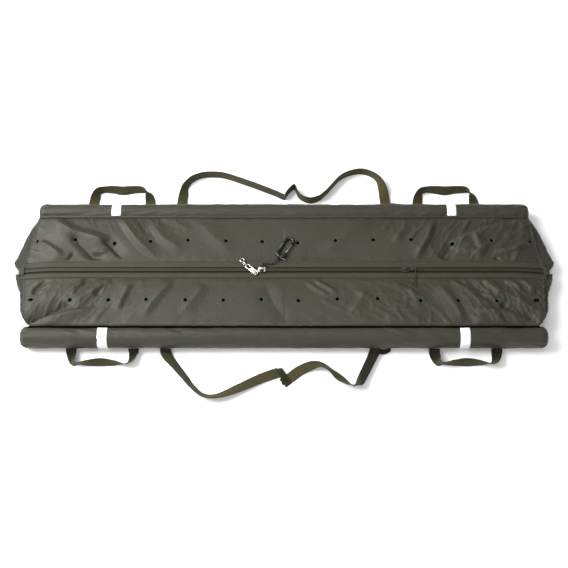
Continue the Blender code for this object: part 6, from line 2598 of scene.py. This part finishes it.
@dataclass
class Clip:
    """The moulded clip on the zip's cord: an open loop, a sprung gate and a turning foot.

    Args:
        foot: the loop's foot on the ground plan.
        tip: its tip.
        height: its height.
        width: its width.
        rod: its rod's diameter.
        gate: the gate's diameter.
        gate_low: where the opening starts, along the clip from its middle.
        gate_high: where it ends.
        play: the play that each moving fit has.
        swivel_length: the turning foot's length.
        swivel_diameter: its diameter.
        rib_count: how many slices the ribbed part of the loop has.
        rib_start: where it starts, along the clip from its middle.
        rib_pitch: from slice to slice.
        bar_place: the foot bar's middle on the ground plan.
    """

    foot: tuple[float, float] = (-0.0130, 0.0320)
    tip: tuple[float, float] = (0.0190, 0.0850)
    height: float = CLIP_HEIGHT
    width: float = 0.024
    rod: float = 0.0050
    gate: float = 0.0042
    gate_low: float = -0.012
    gate_high: float = 0.016
    play: float = 0.0003
    swivel_length: float = 0.007
    swivel_diameter: float = 0.0064
    rib_count: int = 13
    rib_start: float = -0.0078
    rib_pitch: float = 0.0013
    bar_place: tuple[float, float] = (-0.0050, 0.0277)

    def build_loop(self) -> bpy.types.Object:
        """Make the loop: a long ring that is cut open for the gate, and ribbed where it is held."""
        ring = (self.width - self.rod) / 2
        half = math.dist(self.foot, self.tip) / 2
        piece = long_ring("cord_clip_loop", ring, self.rod * 0.76, half - self.rod / 2 - ring)
        shape_up(piece)
        for place in (self.gate_low, self.gate_high):
            pick("FACE", lambda middle: middle.y < 0)
            slice_at(place)
        pick("FACE", lambda middle: middle.y < 0 and self.gate_low < middle.x < self.gate_high)
        bpy.ops.mesh.delete(type="FACE")
        slices = [self.rib_start + self.rib_pitch * k for k in range(self.rib_count)]
        for place in slices:
            pick("FACE", lambda middle: middle.y > 0)
            slice_at(place)
        for place in slices[::2]:
            pick("VERT", lambda middle: middle.y > 0 and abs(middle.x - place) < 2e-4)
            scale_picked(1, 0.84, 0.84, (0, ring, 0))
        finish_shape()
        barrel = turned_rod("barrel",
                            [(0.0, 0.0024), (0.0004, 0.0031), (0.0036, 0.0034), (0.0040, 0.0031),
                             (0.0052, 0.0028), (0.0056, 0.0020)])
        stand(barrel, Matrix.Translation((-half, 0, 0)) @ Matrix.Rotation(math.pi / 2, 4, "Y"))
        return join([piece, barrel], "cord_clip_loop")

    def build_gate(self) -> bpy.types.Object:
        """Make the gate: a turned rod with rounded ends and a ribbed grip."""
        low, high = self.gate_low + 2 * self.play, self.gate_high - 2 * self.play
        full = self.gate / 2
        stations = [(low, full * 0.45), (low + 0.0005, full * 0.85), (low + 0.0014, full)]
        for k in range(6):
            start = low + 0.0080 + 0.0016 * k
            stations += [(start, full), (start + 0.0003, full * 0.82),
                         (start + 0.0008, full * 0.82), (start + 0.0011, full)]
        stations += [(high - 0.0026, full), (high - 0.0008, full * 0.80), (high, full * 0.40)]
        return turned_rod("cord_clip_bar", stations, 28)

    def build_swivel(self) -> bpy.types.Object:
        """Make the turning foot, with a waist between two collars."""
        shares = ((0, 0.30), (0.06, 0.62), (0.14, 0.92), (0.28, 1.0), (0.36, 0.96), (0.42, 0.72),
                  (0.58, 0.72), (0.64, 0.96), (0.74, 1.0), (0.88, 0.86), (0.96, 0.56), (1, 0.25))
        length, full = self.swivel_length, self.swivel_diameter / 2
        return turned_rod("clip_turning_foot", [(length * a, full * b) for a, b in shares], 28)

    def build_bar(self) -> bpy.types.Object:
        """Make the bright cross bar at the clip's foot, with a collar at each end."""
        stations = [(-0.0098, 0.0007), (-0.0096, 0.0014), (-0.0080, 0.0014), (-0.0078, 0.0010)]
        return turned_rod("clip_foot_bar",
                          stations + [(-at, radius) for at, radius in stations[::-1]], 20)

    def make(self, wardrobe: Wardrobe) -> None:
        """Build and dress the clip's pieces."""
        run = Vector((self.tip[0] - self.foot[0], self.tip[1] - self.foot[1], 0))
        middle = Vector(((self.foot[0] + self.tip[0]) / 2, (self.foot[1] + self.tip[1]) / 2,
                         self.height))
        along = run.normalized()
        across = Vector((-along.y, along.x, 0))
        loop, gate, swivel = self.build_loop(), self.build_gate(), self.build_swivel()
        lay(loop, middle, along)
        lay(gate, middle - across * (self.width - self.rod) / 2, along, "Z")
        lay(swivel, middle - along * (run.length / 2 + self.play), -along, "Z")
        wardrobe.dress(loop, "black_plastic", "clip", ["cord_clip"])
        wardrobe.dress(gate, "clip_steel", "clip_gate", ["cord_clip_gate"])
        wardrobe.dress(swivel, "black_plastic", "clip", ["clip_swivel"])
        bar = self.build_bar()
        lay(bar, (*self.bar_place, self.height), (0.90, -0.44), "Z")
        wardrobe.dress(bar, "clip_steel", "clip")


# The studio
@dataclass
class Studio:
    """The pale floor, the soft lights and the camera.

    Args:
        camera_place: where the camera stands.
        camera_tilt: its tilt from straight down, in degrees.
        lens: its focal length in millimetres.
        sensor: its picture's width in millimetres.
        lift: how far its picture is shifted up, as a share of its width.
        sky: how strong the sky's light is.
    """

    camera_place: Point = (0.0, -1.2055, 2.1130)
    camera_tilt: float = 30.0
    lens: float = 64.18
    sensor: float = 36.0
    lift: float = -0.0178
    sky: float = 0.42

    LIGHTS = (("key", (-1.95, 0.42, 2.05), 1.9, 146), ("fill", (-0.3, -2.3, 1.2), 1.8, 24),
              ("top", (-0.3, 0.4, 3.2), 2.4, 17))

    def add_floor(self) -> None:
        """Lay the floor."""
        verts = [(-6, -5, 0), (6, -5, 0), (6, 7, 0), (-6, 7, 0)]
        floor = mesh_piece("floor", verts, [(0, 1, 2, 3)])
        made = bpy.data.materials.new("pale_floor")
        made.use_nodes = True
        board = NodeBoard(made.node_tree)
        shader = board.add("ShaderNodeBsdfPrincipled",
                           {"Base Color": opaque((0.93, 0.93, 0.93)), "Roughness": 0.9,
                            "Emission Color": opaque((1.0, 1.0, 1.0)), "Emission Strength": 0.10})
        board.add("ShaderNodeOutputMaterial", {"Surface": shader.outputs[0]})
        floor.data.materials.append(made)

    def add_light(self, name: str, place: Point, size: float, power: float) -> None:
        """Hang one soft square light that shines at the sling's middle.

        Args:
            name: its name.
            place: where it hangs.
            size: how wide it is.
            power: how strong it is, in watts.
        """
        lamp = bpy.data.lights.new(name, "AREA")
        lamp.shape, lamp.size, lamp.energy = "SQUARE", size, power
        holder = bpy.data.objects.new(name, lamp)
        holder.location = place
        holder.rotation_euler = (-Vector(place)).to_track_quat("-Z", "Y").to_euler()
        bpy.context.scene.collection.objects.link(holder)

    def add_camera(self) -> None:
        """Stand the camera at the photograph's place."""
        lens = bpy.data.cameras.new("camera")
        lens.lens, lens.sensor_width, lens.shift_y = self.lens, self.sensor, self.lift
        camera = bpy.data.objects.new("camera", lens)
        camera.location = self.camera_place
        camera.rotation_euler = (math.radians(self.camera_tilt), 0, 0)
        bpy.context.scene.collection.objects.link(camera)
        bpy.context.scene.camera = camera

    def make(self) -> None:
        """Set up the camera, the floor, the lights and the sky."""
        self.add_camera()
        self.add_floor()
        for name, place, size, power in self.LIGHTS:
            self.add_light(name, place, size, power)
        world = bpy.data.worlds.new("sky")
        world.use_nodes = True
        board = NodeBoard(world.node_tree)
        sky = board.add("ShaderNodeBackground",
                        {"Color": (1.0, 1.0, 1.0, 1.0), "Strength": self.sky})
        board.add("ShaderNodeOutputWorld", {"Surface": sky.outputs[0]})
        bpy.context.scene.world = world
        view = bpy.context.scene.view_settings
        view.view_transform, view.look, view.exposure = "Standard", "None", 0.0
        LOG.info("studio: camera, floor, 3 lights and sky")


def main() -> None:
    """Dress the sling over its frame, in the order that it would be sewn and rigged."""
    logging.basicConfig(level=logging.INFO, format="%(message)s")
    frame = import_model()
    Studio().make()
    plan = SlingPlan()
    wardrobe = Wardrobe(make_finishes())
    Cords(plan).make(wardrobe)
    Slider("zip_slider_one", SLIDER_ONE, "slider_one", "nickel").make(wardrobe)
    Slider("zip_slider_two", SLIDER_TWO, "slider_two", "dark_metal").make(wardrobe)
    PullTab().make(wardrobe)
    SnapHook().make(wardrobe)
    Clip().make(wardrobe)
    for side in Side:
        FloatSleeve(side, plan, spare=0.0045 if side is Side.NEAR else 0.0).make(wardrobe)
    Bag(plan).make(wardrobe)
    Zip(plan).make(wardrobe)
    Webbing(plan).make(wardrobe)


if __name__ == "__main__":
    main()
